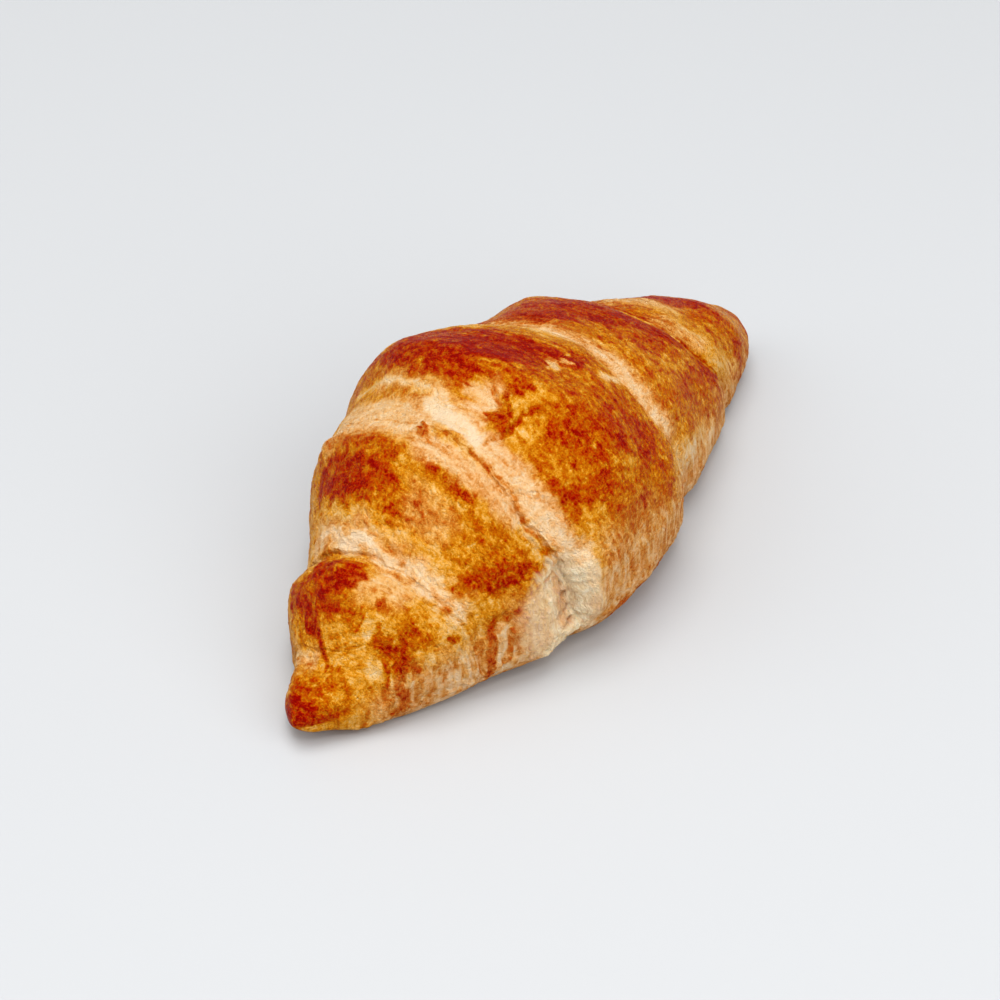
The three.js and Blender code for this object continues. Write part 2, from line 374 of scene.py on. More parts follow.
class Places:
    """The coordinates that relief and browning are worked out in."""

    def __init__(self, x, turn, wrap):
        self.x = x
        self.turn = turn
        self.wrap = wrap
        self.radius = half_width(x)
        self.cosine = np.cos(np.radians(turn))
        self.sine = np.sin(np.radians(turn))
        self.flow = self.straightened()
        self.body = np.stack([x, self.cosine * self.radius, self.sine * self.radius], -1)

    def straightened(self):
        """x with every edge drawn straight, so that lines of equal value follow the wraps."""
        places = [np.full(self.x.shape, NEAR_TIP_X)]
        places += [around(edge["at"], self.turn) for edge in EDGES]
        places += [np.full(self.x.shape, FAR_TIP_X)]
        means = [NEAR_TIP_X] + [float(np.mean(edge["at"][2:5])) for edge in EDGES] + [FAR_TIP_X]
        result = np.zeros(self.x.shape)
        for k in range(len(EDGES) + 1):
            u = (self.x - places[k]) / (places[k + 1] - places[k])
            result = np.where(self.wrap == k, means[k] + u * (means[k + 1] - means[k]), result)
        return result

    def grain(self, across, length):
        """Points for noise drawn out round the roll: one hill to each so many millimetres."""
        radius = self.radius / length
        return np.stack([self.flow / across, self.cosine * radius, self.sine * radius], -1)

    def fibres(self, across, length, swirl, seed):
        """The same, bent by slow waves, as strands of dough are."""
        bend = swirl * noise(self.body / SWIRL_SIZE, seed)
        return self.grain(across, length) + bend[..., None]


# Browning from 0, raw dough, to 1, nearly burnt, painted on the unrolled skin.
# One degree round the roll counts as so many millimetres.
DEGREE_MM = 0.56
BASE_LEVEL = [
    # x, level
    (-77, 0.92),
    (-74, 0.8),
    (-71, 0.44),
    (-66, 0.32),
    (-62, 0.42),
    (-58, 0.36),
    (-52, 0.28),
    (-49, 0.2),
    (-45, 0.36),
    (-38, 0.45),
    (-34, 0.32),
    (-31, 0.26),
    (-27, 0.26),
    (-23, 0.42),
    (-10, 0.6),
    (5, 0.56),
    (8.5, 0.52),
    (11.5, 0.42),
    (15, 0.46),
    (20, 0.54),
    (35, 0.6),
    (43, 0.55),
    (45, 0.36),
    (50, 0.3),
    (58, 0.5),
    (66, 0.53),
    (74, 0.53),
    (82, 0.56),
]
# level, strength, half width, softness, points (x, degrees round)
BROWNING_AND_SHADE = [
    # near tip
    (0.95, 0.9, 1.6, 1.2, [(-76.5, 160), (-76.5, 90), (-76, 40)]),
    (0.8, 0.7, 1.2, 1.2, [(-73.5, 120), (-73.3, 90), (-73.2, 62)]),
    (0.7, 0.6, 0.8, 0.8, [(-70.8, 96), (-70.4, 84)]),
    (0.66, 0.55, 1.2, 1.4, [(-71, 60), (-70.5, 40), (-71, 12)]),
    (0.18, 0.85, 1.4, 1.2, [(-67.3, 150), (-67.6, 122), (-67.8, 104)]),
    (0.28, 0.6, 1.2, 1.2, [(-65.5, 90), (-65, 70), (-65, 50)]),
    (0.36, 0.7, 4, 4, [(-69, -5), (-68, -25)]),
    # second wrap, its browned shoulder and the streak down the flank
    (0.86, 0.85, 2, 1.6, [(-60.2, 150), (-60, 120), (-60.6, 96)]),
    (0.78, 0.8, 2.6, 1.4, [(-57, 124), (-56.4, 112), (-56.4, 98)]),
    (0.94, 0.95, 1.5, 1, [(-57, 98), (-56.2, 93), (-55.6, 88)]),
    (0.8, 0.6, 1.4, 1.4, [(-60.4, 92), (-60, 84), (-59.5, 76)]),
    (0.24, 0.85, 3.2, 2.2, [(-55.5, 82), (-53.6, 74), (-54, 66)]),
    (0.68, 0.75, 0.8, 0.8, [(-57.4, 74), (-57.6, 66)]),
    (0.6, 0.75, 3.2, 2, [(-58, 60), (-57.6, 44), (-57.6, 28)]),
    (0.74, 0.7, 0.9, 0.8, [(-56.4, 44), (-55.8, 34)]),
    (0.7, 0.75, 0.9, 0.7, [(-60.8, 52), (-60.6, 30), (-60.4, 4), (-60.4, -34)]),
    (0.78, 0.8, 0.9, 0.6, [(-50.8, 24), (-50.2, 20)]),
    (0.26, 0.7, 3, 2, [(-55, 12), (-54, -4)]),
    (0.55, 0.8, 1.6, 1.4, [(-52.4, 132), (-52.4, 110)]),
    # pale band between the second and third wraps
    (0.1, 0.9, 1.5, 1.2, [(-48.8, 138), (-49.2, 116), (-49.3, 96), (-49.6, 80)]),
    (0.12, 0.8, 1.2, 1.2, [(-49.4, 78), (-49.2, 60), (-48.4, 44), (-47.6, 30)]),
    (0.46, 0.8, 0.5, 0.5, [(-47.3, 135), (-47.3, 110), (-47.7, 92), (-48.4, 78)]),
    (0.14, 0.7, 0.9, 0.8, [(-45.7, 138), (-45.8, 112), (-46.4, 92)]),
    # third wrap
    (0.86, 0.9, 2.4, 1.6, [(-40.4, 146), (-40.6, 124), (-41.2, 106), (-41.2, 98)]),
    (0.8, 0.8, 1.4, 1.4, [(-35.2, 130), (-35.4, 114), (-36.2, 100)]),
    (0.7, 0.7, 1.6, 1.4, [(-38.6, 112), (-38.6, 98)]),
    (0.52, 0.7, 2.6, 2, [(-42, 96), (-42, 84), (-41.4, 74)]),
    (0.44, 0.6, 2.6, 2, [(-41.5, 70), (-41.5, 64)]),
    (0.7, 0.6, 0.6, 0.5, [(-35.6, 92), (-35.8, 86), (-36.4, 80), (-36.8, 74), (-36.4, 66),
        (-37.2, 62)]),
    (0.58, 0.85, 3.8, 1.6, [(-39.6, 56), (-39.2, 52), (-38.6, 46)]),
    (0.36, 0.8, 1, 1, [(-41.2, 53), (-40.4, 49)]),
    (0.84, 0.9, 1.8, 1.4, [(-44.4, 44), (-41.6, 38), (-37.6, 31), (-34, 26)]),
    (0.27, 0.85, 1.8, 0.9, [(-33.2, 90), (-33.4, 74), (-33, 60), (-32.6, 52)]),
    (0.18, 0.8, 1.6, 0.9, [(-32.4, 46), (-32.2, 28)]),
    (0.6, 0.75, 2.4, 0.9, [(-42.2, 17), (-41.6, 15)]),
    # seam at the opening and the pale lip beyond it
    (0.22, 0.9, 1.3, 1, [(-28, 82), (-28.2, 72), (-28.4, 58), (-28.6, 48)]),
    (0.13, 0.9, 1.3, 1, [(-28.6, 48), (-28.2, 36), (-27.6, 24)]),
    (0.12, 0.9, 1.3, 1, [(-27.6, 24), (-26.5, 8), (-25.4, -12), (-24, -28)]),
    (0.14, 0.85, 2.4, 1.8, [(-25, 22), (-24.6, 8), (-25, -20)]),
    (0.03, 0.95, 1.9, 1, [(-24, 97), (-26.4, 88), (-27.6, 82)]),
    (0.16, 0.9, 1.7, 1, [(-21, 87), (-17.8, 87)]),
    (0.18, 0.8, 3.4, 2, [(-31, 140), (-29.6, 118), (-29, 100)]),
    (0.45, 0.8, 0.9, 0.8, [(-24.2, 130), (-24.4, 116), (-25.4, 106), (-27, 98)]),
    (0.14, 0.8, 0.7, 0.7, [(-21.6, 124), (-21.4, 108), (-22, 98)]),
    # middle wrap, crown
    (0.84, 0.9, 2.4, 1.5, [(-17, 128), (-17, 112), (-16.6, 96)]),
    (0.86, 0.9, 6.5, 3, [(-10, 122), (-7, 108), (-5, 100)]),
    (0.97, 0.85, 3, 2.2, [(-9, 103), (-5, 97), (-2, 92)]),
    (0.97, 0.95, 3.4, 1.6, [(-12.5, 99), (-8, 94), (-4, 89.5), (0, 84)]),
    (0.44, 0.8, 1.8, 1.6, [(0, 113), (4, 102), (7.6, 90), (8.6, 78)]),
    (0.8, 0.8, 1.6, 1.2, [(3.4, 79), (6.4, 76)]),
    (0.42, 0.7, 2, 2.2, [(2, 108), (7, 96), (9, 86)]),
    (0.84, 0.8, 1, 0.8, [(-14, 80), (-12, 79)]),
    (0.2, 0.85, 0.9, 0.6, [(-3.6, 80), (-0.6, 81)]),
    (0.2, 0.85, 0.6, 0.5, [(3.9, 82)]),
    (0.46, 0.7, 1.6, 1.6, [(-10, 73), (-4, 72), (2, 70)]),
    (0.16, 0.9, 1.1, 0.8, [(4.4, 66.5), (9, 65)]),
    # middle wrap, front
    (0.52, 0.7, 2.4, 1.8, [(-23.8, 66), (-22.6, 60), (-23, 54)]),
    (0.14, 0.95, 2.4, 1.5, [(-19.8, 71), (-15.4, 69)]),
    (0.8, 0.85, 3.6, 2.4, [(-16, 66), (-14.4, 58), (-13, 49)]),
    (0.74, 0.75, 1.8, 1.4, [(-24.2, 54), (-24, 48)]),
    (0.8, 0.8, 2.4, 1.8, [(-23, 42), (-19, 39), (-15, 37)]),
    (0.76, 0.8, 5, 2.6, [(-7, 50), (-2, 46), (2.6, 38)]),
    (0.7, 0.7, 3, 2.2, [(-1, 62), (3, 58)]),
    (0.34, 0.85, 1, 0.8, [(-10.6, 38.5), (-7.4, 37)]),
    (0.62, 0.6, 3, 2.4, [(-14, 26), (-4, 24), (3, 26)]),
    (0.3, 0.7, 2.4, 2.4, [(-20, 26), (-19, 18)]),
    (0.24, 0.75, 4.5, 4, [(-22, 0), (-14, 2), (-6, 2), (6, 4)]),
    (0.28, 0.8, 4, 3, [(-24, -12), (-12, -12), (8, -12)]),
    # painted shade: a dark band low on the flank where it turns down to the floor, partly real browning
    (0.85, 0.9, 4.2, 2.5, [(-15, -22), (-8, -23), (-1, -22)]),
    # valley before the fifth wrap
    (0.14, 0.9, 1.7, 1.3, [(-12, 136), (-5, 129), (0, 121), (4, 113), (7, 106), (9.4, 97), (11.6, 89)]),
    (0.16, 0.9, 1.2, 1.4, [(11.6, 89), (12.8, 80), (12.9, 62), (12.4, 46), (13.5, 34)]),
    # fifth wrap
    (0.82, 0.85, 4, 2.6, [(10, 128), (15, 119), (24, 110)]),
    (0.86, 0.85, 3.4, 2.4, [(24, 108), (31, 98), (35, 84)]),
    (0.92, 0.9, 3, 1.8, [(13, 112), (16.5, 102), (24, 93), (31, 82)]),
    (0.6, 0.6, 3, 2.2, [(16, 84), (22, 78)]),
    (0.8, 0.8, 2.4, 2, [(26, 86), (29, 78)]),
    (0.72, 0.7, 2.4, 2, [(24, 74), (32, 68), (37, 64)]),
    (0.66, 0.65, 2, 1.8, [(20, 62), (30, 58)]),
    (0.34, 0.8, 0.9, 0.8, [(21, 60), (28, 52)]),
    (0.46, 0.6, 0.7, 0.6, [(28, 52), (36, 49), (44, 49)]),
    (0.72, 0.8, 2.6, 1.8, [(18, 42), (27, 39), (36, 38)]),
    (0.86, 0.9, 1.8, 1.3, [(41, 40), (42, 34), (42.3, 27)]),
    (0.06, 0.9, 5, 4, [(14, 14), (24, 10), (34, 2)]),
    (0.68, 0.8, 2.2, 2, [(43, 28), (45.4, 10)]),
    (0.32, 0.8, 6, 5, [(20, -12), (44, -18)]),
    # last fold and far tip
    (0.9, 0.95, 1.5, 1, [(38.4, 138), (38.6, 112), (38.9, 92), (40, 80)]),
    (0.86, 0.9, 0.5, 0.5, [(40, 80), (42.6, 60), (45, 42), (48, 20), (51, 0)]),
    (0.2, 0.7, 2, 2, [(44, 110), (47, 98)]),
    (0.62, 0.8, 1.6, 1.2, [(52, 108), (52.6, 92)]),
    (0.56, 0.8, 1, 0.8, [(44.6, 91), (45.4, 80)]),
    (0.3, 0.7, 1.2, 1.2, [(42.4, 80), (45, 66), (48, 52)]),
    (0.18, 0.85, 3.8, 2.4, [(52, 34), (57, 24), (59, 0)]),
    (0.68, 0.8, 3.4, 2.4, [(56, 122), (56, 104), (55.4, 86), (54.6, 70)]),
    (0.64, 0.85, 1, 1, [(56.4, 80), (55.8, 66), (55.6, 52)]),
    (0.72, 0.7, 3.4, 2.4, [(57, 116), (61, 104), (63, 92)]),
    (0.84, 0.9, 1.5, 1.2, [(62.3, 88), (62.5, 66), (63.2, 48), (65, 28), (65.4, 8), (64, -8)]),
    (0.46, 0.7, 3, 2, [(70, 80), (71, 50), (72, 20)]),
    (0.84, 0.9, 3.4, 2.4, [(80.4, 80), (80.2, 50), (80, 10)]),
]
# thin strokes, laid over the broad ones
FINE_STROKES = [
    # near tip
    (0.97, 0.9, 1.1, 0.8, [(-75.5, 120), (-74.2, 108), (-75, 88)]),
    (0.74, 0.85, 0.9, 0.8, [(-71, 58), (-71, 50)]),
    (0.95, 0.9, 0.9, 0.7, [(-76.4, 80), (-75.8, 50), (-74.5, 34)]),
    (0.82, 0.8, 0.35, 0.35, [(-70.6, 126), (-73.5, 134)]),
    (0.82, 0.8, 0.35, 0.35, [(-69.6, 110), (-72.8, 111)]),
    (0.84, 0.85, 0.5, 0.4, [(-70, 91), (-73.5, 79)]),
    (0.6, 0.8, 1.4, 1.2, [(-70.8, 79), (-71.3, 50), (-70.8, 29)]),
    (0.24, 0.85, 3, 2.5, [(-74, 0), (-74.5, -10), (-75, -30)]),
    (0.76, 0.9, 1.4, 1, [(-72, 124), (-72, 84)]),
    (0.6, 0.7, 1.2, 1.2, [(-68, 72), (-68.2, 48), (-68.6, 26)]),
    (0.62, 0.8, 0.4, 0.4, [(-66, 74), (-66.5, 60), (-67.5, 47), (-69.3, 39)]),
    (0.62, 0.8, 0.4, 0.4, [(-66.5, 81), (-67.5, 67), (-68.8, 54)]),
    # second wrap
    (0.16, 0.8, 0.9, 0.7, [(-60.2, 74), (-60.6, 66), (-62.5, 60), (-63, 48), (-62.8, 33)]),
    (0.86, 0.85, 0.55, 0.45, [(-62.8, 127), (-63.8, 109), (-64.8, 101), (-65.5, 95), (-67.3, 84)]),
    (0.95, 0.9, 0.9, 0.8, [(-61, 139), (-60.8, 126)]),
    (0.95, 0.9, 0.8, 0.7, [(-61.8, 113), (-61, 105)]),
    (0.88, 0.8, 1.2, 1, [(-55.8, 122), (-56.2, 108), (-58, 106)]),
    (0.99, 0.95, 1, 0.7, [(-56.8, 96), (-56.2, 92), (-55.6, 89)]),
    (0.72, 0.75, 0.45, 0.4, [(-62, 75), (-60.8, 74), (-59.8, 76)]),
    (0.76, 0.7, 0.35, 0.35, [(-61.8, 101), (-61.3, 91), (-60.5, 82)]),
    (0.62, 0.8, 1.6, 1.2, [(-61, 58), (-59.5, 46), (-57, 42), (-56, 32)]),
    (0.7, 0.95, 0.5, 0.3, [(-61.3, 48), (-61.5, 35), (-62.3, 21), (-62.8, 5)]),
    (0.2, 1, 0.7, 0.3, [(-61.2, 24), (-61.7, 13), (-62.2, 6)]),
    (0.76, 1, 1.2, 0.5, [(-59.8, 39), (-60, 25), (-60.3, 12), (-60.3, 0), (-61.5, -10)]),
    (0.18, 1, 0.6, 0.3, [(-58.8, 18), (-59.1, 5)]),
    (0.68, 0.95, 0.6, 0.3, [(-58.1, 24), (-58.3, 10)]),
    (0.2, 0.8, 0.8, 0.6, [(-57.3, 29), (-57, 24)]),
    (0.6, 0.8, 0.4, 0.4, [(-57.8, 73), (-57.8, 67), (-58, 62)]),
    (0.95, 0.95, 1.2, 0.8, [(-56.4, 98), (-54.8, 96)]),
    (0.72, 0.8, 0.9, 0.7, [(-53.6, 98), (-53.2, 94)]),
    (0.84, 0.85, 0.8, 0.6, [(-57.8, 93), (-57, 89)]),
    (0.36, 0.85, 1.4, 1, [(-58, 61), (-58, 53)]),
    (0.56, 0.8, 1.1, 0.8, [(-59, 43), (-59, 35)]),
    (0.56, 0.8, 0.8, 0.6, [(-63.2, 93), (-63, 87)]),
    (0.44, 0.85, 0.8, 0.6, [(-57.4, 86), (-57, 82)]),
    (0.26, 0.8, 0.8, 0.7, [(-63.2, 69), (-63, 63)]),
    (0.6, 0.7, 0.5, 0.5, [(-49.5, 42), (-49.5, 39)]),
    (0.68, 0.8, 0.5, 0.4, [(-50.8, 24), (-50.6, 21)]),
    (0.58, 0.7, 0.4, 0.4, [(-54.5, 8), (-54, -1)]),
    (0.6, 0.7, 0.5, 0.5, [(-50.8, -18), (-45.3, -28)]),
    # pale band and its ochre streaks
    (0.48, 0.8, 0.4, 0.4, [(-45, 110), (-46, 99), (-47.8, 88), (-48.8, 77)]),
    (0.42, 0.75, 0.3, 0.3, [(-47, 105), (-47.5, 97), (-47.8, 91)]),
    (0.48, 0.8, 0.35, 0.3, [(-50.8, 84), (-51, 77), (-51.8, 70)]),
    # third wrap
    (0.84, 0.85, 1.6, 1.2, [(-40.8, 142), (-42.6, 122), (-42.6, 108)]),
    (0.8, 0.75, 1, 0.8, [(-38.3, 136), (-39.6, 116), (-38.8, 102)]),
    (0.76, 0.75, 0.9, 0.8, [(-34.6, 142), (-35.3, 126), (-35.3, 108)]),
    (0.8, 0.7, 0.35, 0.4, [(-43.3, 97), (-43.5, 89), (-44.8, 81)]),
    (0.8, 0.7, 0.3, 0.4, [(-42.8, 95), (-41.8, 90), (-41.3, 85)]),
    (0.76, 0.7, 0.3, 0.4, [(-41.3, 90), (-42, 80)]),
    (0.8, 0.85, 0.5, 0.4, [(-36.3, 92), (-35.3, 90)]),
    (0.84, 0.9, 0.5, 0.4, [(-35.6, 88), (-36.3, 84)]),
    (0.66, 0.85, 0.4, 0.35, [(-36.8, 76), (-37, 72)]),
    (0.84, 0.85, 0.45, 0.4, [(-36.5, 70), (-36.3, 66)]),
    (0.8, 0.8, 0.35, 0.3, [(-37.5, 65), (-37.8, 62)]),
    (0.28, 0.85, 1.3, 1, [(-45.4, 78), (-45.1, 70), (-45, 59)]),
    (0.76, 0.85, 0.7, 0.6, [(-44.2, 118), (-44, 104)]),
    (0.52, 0.7, 0.9, 0.8, [(-41.5, 104), (-41, 98)]),
    (0.54, 0.8, 1, 0.8, [(-35, 111), (-35, 105)]),
    (0.56, 0.8, 1, 0.8, [(-41.6, 79), (-40.6, 67), (-41.2, 62)]),
    (0.84, 0.9, 1.2, 0.8, [(-44, 42), (-43, 36)]),
    (0.6, 0.8, 1, 0.8, [(-36, 38), (-35, 34)]),
    (0.26, 0.85, 0.8, 0.6, [(-33.3, 46), (-33.1, 40)]),
    (0.14, 0.9, 1, 0.7, [(-31.4, 45), (-31.2, 34)]),
    (0.52, 0.8, 0.8, 0.6, [(-45.6, 44), (-45.2, 40)]),
    (0.8, 0.85, 1, 0.7, [(-42, 33), (-40.4, 29)]),
    (0.42, 0.8, 0.9, 0.8, [(-41.6, 49), (-40.6, 47)]),
    (0.34, 0.8, 0.9, 0.8, [(-43.2, 63), (-43, 58)]),
    (0.64, 0.8, 0.8, 0.6, [(-37.2, 93), (-36.8, 87)]),
    (0.72, 0.7, 1, 0.8, [(-39.4, 110), (-39, 106)]),
    (0.14, 0.95, 2.6, 0.8, [(-42.8, 8), (-43.2, -20)]),
    (0.78, 1, 0.9, 0.35, [(-43, 17), (-44.3, 10), (-44.5, 0), (-44.5, -24)]),
    (0.72, 1, 0.6, 0.3, [(-40.6, 6), (-40.8, -1), (-41.8, -9)]),
    (0.66, 0.8, 0.7, 0.5, [(-43, 17), (-41, 16), (-39.3, 14)]),
    (0.68, 0.85, 0.7, 0.5, [(-43.2, 14), (-43, 10)]),
    (0.2, 0.85, 1, 0.8, [(-39, -8), (-39, -16)]),
    (0.62, 0.8, 0.45, 0.4, [(-46.5, 12), (-46.5, 8)]),
    # seam, with its tufts, flap and scar
    (0.46, 0.7, 0.6, 0.5, [(-23.5, 145), (-23.5, 132), (-23.3, 122), (-24, 114), (-26, 105),
        (-28.8, 97)]),
    (0.42, 0.6, 0.5, 0.5, [(-20.8, 139), (-21.5, 121), (-22, 108)]),
    (0.82, 1, 0.4, 0.2, [(-29.5, 98), (-31, 94)]),
    (0.82, 1, 0.4, 0.2, [(-30.6, 98), (-31.8, 93)]),
    (0.72, 1, 0.4, 0.2, [(-31.5, 97), (-32.6, 92)]),
    (0.6, 0.9, 0.5, 0.25, [(-31, 91), (-29.8, 89), (-29, 85), (-29.8, 80)]),
    # ochre torn edge of the seam, darkened and widened as painted shade in its crease
    (0.58, 0.9, 0.45, 0.35, [(-30.3, 79), (-30.5, 65), (-31, 53), (-31.5, 45), (-31.3, 35),
        (-30.6, 27)]),
    # painted shade in the hollow of the opening, and along its upper rim
    (0.52, 0.9, 1.5, 1, [(-28.9, 12), (-28.6, 2), (-28.8, -8)]),
    (0.62, 0.9, 0.5, 0.35, [(-32.6, 19), (-30.6, 18), (-28.4, 15), (-27.4, 11)]),
    (0.46, 0.6, 0.25, 0.3, [(-30.5, 56), (-29, 54), (-27, 46)]),
    (0.42, 0.8, 1.2, 0.8, [(-19, 66.5), (-16.6, 68)]),
    (0.5, 0.8, 1.4, 0.9, [(-15.6, 72), (-13.4, 66)]),
    (0.24, 0.8, 0.6, 0.6, [(-27, 85), (-26.6, 83)]),
    (0.56, 0.9, 0.6, 0.5, [(-25.4, 79), (-25, 77)]),
    (0.76, 1, 1, 0.5, [(-22.4, 82), (-22, 79)]),
    (0.84, 0.95, 0.8, 0.5, [(-23.6, 79), (-22.6, 77.4)]),
    (0.5, 0.8, 0.8, 0.7, [(-15.4, 86), (-15, 82.6)]),
    (0.97, 1, 0.6, 0.3, [(-23.8, 77), (-22, 75)]),
    (0.97, 1, 0.45, 0.25, [(-21.8, 85), (-21.4, 80)]),
    (0.88, 1, 0.55, 0.3, [(-24.4, 76.6), (-22.8, 76), (-20.3, 75), (-18.3, 74), (-16, 71)]),
    (0.26, 0.9, 0.7, 0.4, [(-16.6, 77.4), (-15.8, 75), (-14.6, 73)]),
    (0.3, 0.9, 0.5, 0.35, [(-15.8, 80), (-17.6, 79), (-19.2, 77)]),
    (0.4, 0.85, 0.8, 0.6, [(-19.2, 72.5), (-19, 70), (-20, 68.6)]),
    (0.82, 0.9, 0.9, 0.5, [(-15.2, 80.6), (-14.3, 78), (-13.8, 76.6)]),
    (0.6, 0.9, 0.6, 0.4, [(-26.8, 78), (-24.8, 77)]),
    (0.84, 0.95, 0.4, 0.25, [(-16.8, 83), (-18.3, 81), (-20.4, 78)]),
    (0.68, 0.8, 0.35, 0.4, [(-27.5, 78), (-25.8, 77), (-24, 75.5)]),
    (0.64, 0.9, 0.4, 0.25, [(-16.3, 91), (-17, 87), (-19, 84)]),
    (0.62, 0.6, 0.4, 0.4, [(-20.5, 94), (-18.3, 94), (-17, 92.5)]),
    (0.84, 0.8, 0.9, 0.7, [(-15.8, 81), (-14.2, 78)]),
    # pale shoulder beyond the third wrap
    (0.22, 0.75, 2.6, 1.6, [(-28.5, 142), (-28.5, 122), (-29, 107)]),
    (0.36, 0.7, 0.7, 0.8, [(-32.8, 125), (-32.5, 113), (-32.3, 103)]),
    (0.44, 0.85, 1, 0.8, [(-23.6, 140), (-23.5, 124), (-23.4, 114), (-23.2, 108)]),
    (0.42, 0.7, 0.5, 0.5, [(-24.2, 112), (-26.4, 105), (-28.5, 99)]),
    (0.1, 0.85, 0.7, 0.7, [(-21.8, 147), (-21, 128), (-21.5, 111), (-22.3, 101)]),
    (0.5, 0.7, 0.8, 0.9, [(-17.5, 146), (-20, 122), (-20.4, 108), (-19.6, 99)]),
    (0.86, 0.8, 1.5, 1.3, [(-15, 142), (-17, 124), (-17.4, 112), (-17, 100)]),
    (0.52, 0.8, 0.9, 0.7, [(-21, 104), (-20.8, 99)]),
    (0.16, 0.85, 0.8, 0.6, [(-23.2, 111), (-23, 106)]),
    (0.02, 0.9, 1.7, 1, [(-24.8, 101), (-26.3, 94), (-27.2, 88), (-28, 82)]),
    # scar with its rims
    (0.28, 0.9, 1.5, 0.8, [(-20, 89), (-17.4, 90.5)]),
    (0.52, 0.8, 0.4, 0.5, [(-20.8, 95), (-22.2, 91), (-23.4, 85)]),
    (0.6, 0.8, 0.4, 0.4, [(-16.4, 88), (-17.5, 84), (-18.3, 81)]),
    # middle wrap
    (0.14, 0.9, 1, 0.6, [(-3.2, 80), (-2.6, 80)]),
    (0.1, 0.9, 0.4, 0.3, [(2.8, 82), (3.2, 82)]),
    (0.3, 0.7, 0.3, 0.3, [(2.5, 93), (3.2, 89), (4, 85)]),
    (0.84, 0.85, 0.7, 0.5, [(2.8, 79.5), (4.7, 75)]),
    (0.66, 0.7, 0.8, 0.7, [(2.7, 73), (5.5, 69)]),
    (0.32, 0.7, 0.7, 0.6, [(-11.5, 78), (-12.8, 74), (-12.5, 69)]),
    (0.36, 0.75, 0.5, 0.4, [(-13.6, 49.5), (-13, 48.5)]),
    (0.32, 0.8, 0.9, 0.7, [(-7.2, 38), (-6, 36)]),
    (0.72, 0.8, 1, 0.8, [(-23.6, 38), (-22.6, 34)]),
    (0.6, 0.8, 1, 0.8, [(-21.6, 56), (-20.8, 52)]),
    (0.62, 0.7, 1.2, 1, [(-1.6, 104), (0, 100)]),
    (1, 0.95, 1.6, 1.2, [(-10.4, 97), (-8, 94.6)]),
    (0.76, 0.8, 1.2, 1, [(-11.6, 85), (-10.4, 83)]),
    (0.74, 0.8, 1, 0.8, [(-1.4, 85), (-0.6, 83)]),
    (0.64, 0.75, 1, 0.9, [(-9.2, 50), (-8.8, 46)]),
    (0.42, 0.85, 0.8, 0.6, [(-25.2, 38), (-25, 34)]),
    (0.34, 0.85, 0.9, 0.7, [(9, 45), (9.2, 39)]),
    (0.24, 0.85, 1.2, 0.9, [(-1.6, 117), (-0.4, 112)]),
    (0.5, 0.8, 1.1, 0.9, [(0.6, 68), (1.6, 64)]),
    (0.36, 0.8, 0.8, 0.6, [(3.2, 68), (3.4, 64)]),
    (0.16, 0.85, 0.8, 0.6, [(4.5, 69), (11.2, 62), (12, 55)]),
    # valley
    (0.06, 0.9, 0.5, 0.4, [(11.2, 42), (11.6, 38)]),
    (0.08, 0.85, 0.5, 0.4, [(14, 71), (14.4, 69)]),
    (0.7, 0.95, 1.3, 0.8, [(14.4, 100), (14.6, 93)]),
    (0.5, 0.85, 0.6, 0.5, [(12.8, 99), (13, 94)]),
    # fifth wrap
    (0.3, 0.7, 0.35, 0.3, [(20.5, 76), (23.7, 73)]),
    (0.36, 0.7, 0.35, 0.3, [(22, 55), (29.2, 57), (28, 49), (34.2, 53), (31, 44)]),
    (0.9, 0.9, 2, 1.4, [(30.5, 88), (33, 80), (35.5, 70), (38.7, 58)]),
    (0.42, 0.7, 0.5, 0.5, [(18.2, 49), (20.7, 40), (19.5, 34), (19.5, 23)]),
    (0.34, 0.75, 0.25, 0.25, [(25.7, 56), (29.7, 58), (29, 49)]),
    (0.34, 0.7, 0.35, 0.3, [(40, 36), (39.2, 29)]),
    (0.34, 0.7, 0.35, 0.3, [(37.7, 25), (37.7, 17)]),
    (0.66, 0.75, 0.7, 0.6, [(19.5, 45), (20, 38), (21, 29)]),
    (0.46, 0.85, 1, 0.8, [(22.6, 45), (23.2, 40)]),
    (0.88, 0.85, 0.8, 0.6, [(42, 44), (43.7, 35), (46.5, 25), (50, 12)]),
    # far end
    (0.92, 0.9, 2.2, 1.5, [(50.5, 114), (57.5, 107), (60, 96), (61.5, 84)]),
    (0.74, 0.8, 0.9, 0.9, [(55.2, 97), (58.5, 86), (59, 74)]),
    (0.72, 0.8, 0.8, 0.7, [(56, 72), (55.6, 60), (55.2, 50)]),
    (0.7, 0.85, 1.5, 1.2, [(63.4, 60), (64.8, 44), (65.6, 25), (65, 4)]),
    (0.5, 0.8, 0.7, 0.7, [(43.2, 92), (43.4, 83), (44.7, 72), (45, 61), (45.5, 46), (44.4, 34)]),
    (0.14, 0.8, 0.5, 0.5, [(38.4, 100), (38.6, 86), (40, 74), (42, 62)]),
    (0.36, 0.7, 1.2, 1, [(51.6, 96), (50.4, 86), (48.7, 71)]),
    (0.34, 0.7, 1.2, 1, [(47.7, 98), (50, 94)]),
]
# painted shade: the small holes are coloured at this browning level, as shade falls in them
HOLE_SHADE_LEVEL = 0.66
HOLES = [
    # x, degrees round, half width along the roll, half width round it
    (-28.3, 8, 0.7, 0.7),
    (-27.7, 2, 0.9, 1.1),
    (-27.4, -4, 0.9, 1),
    (-27.4, -9, 1, 1.2),
]
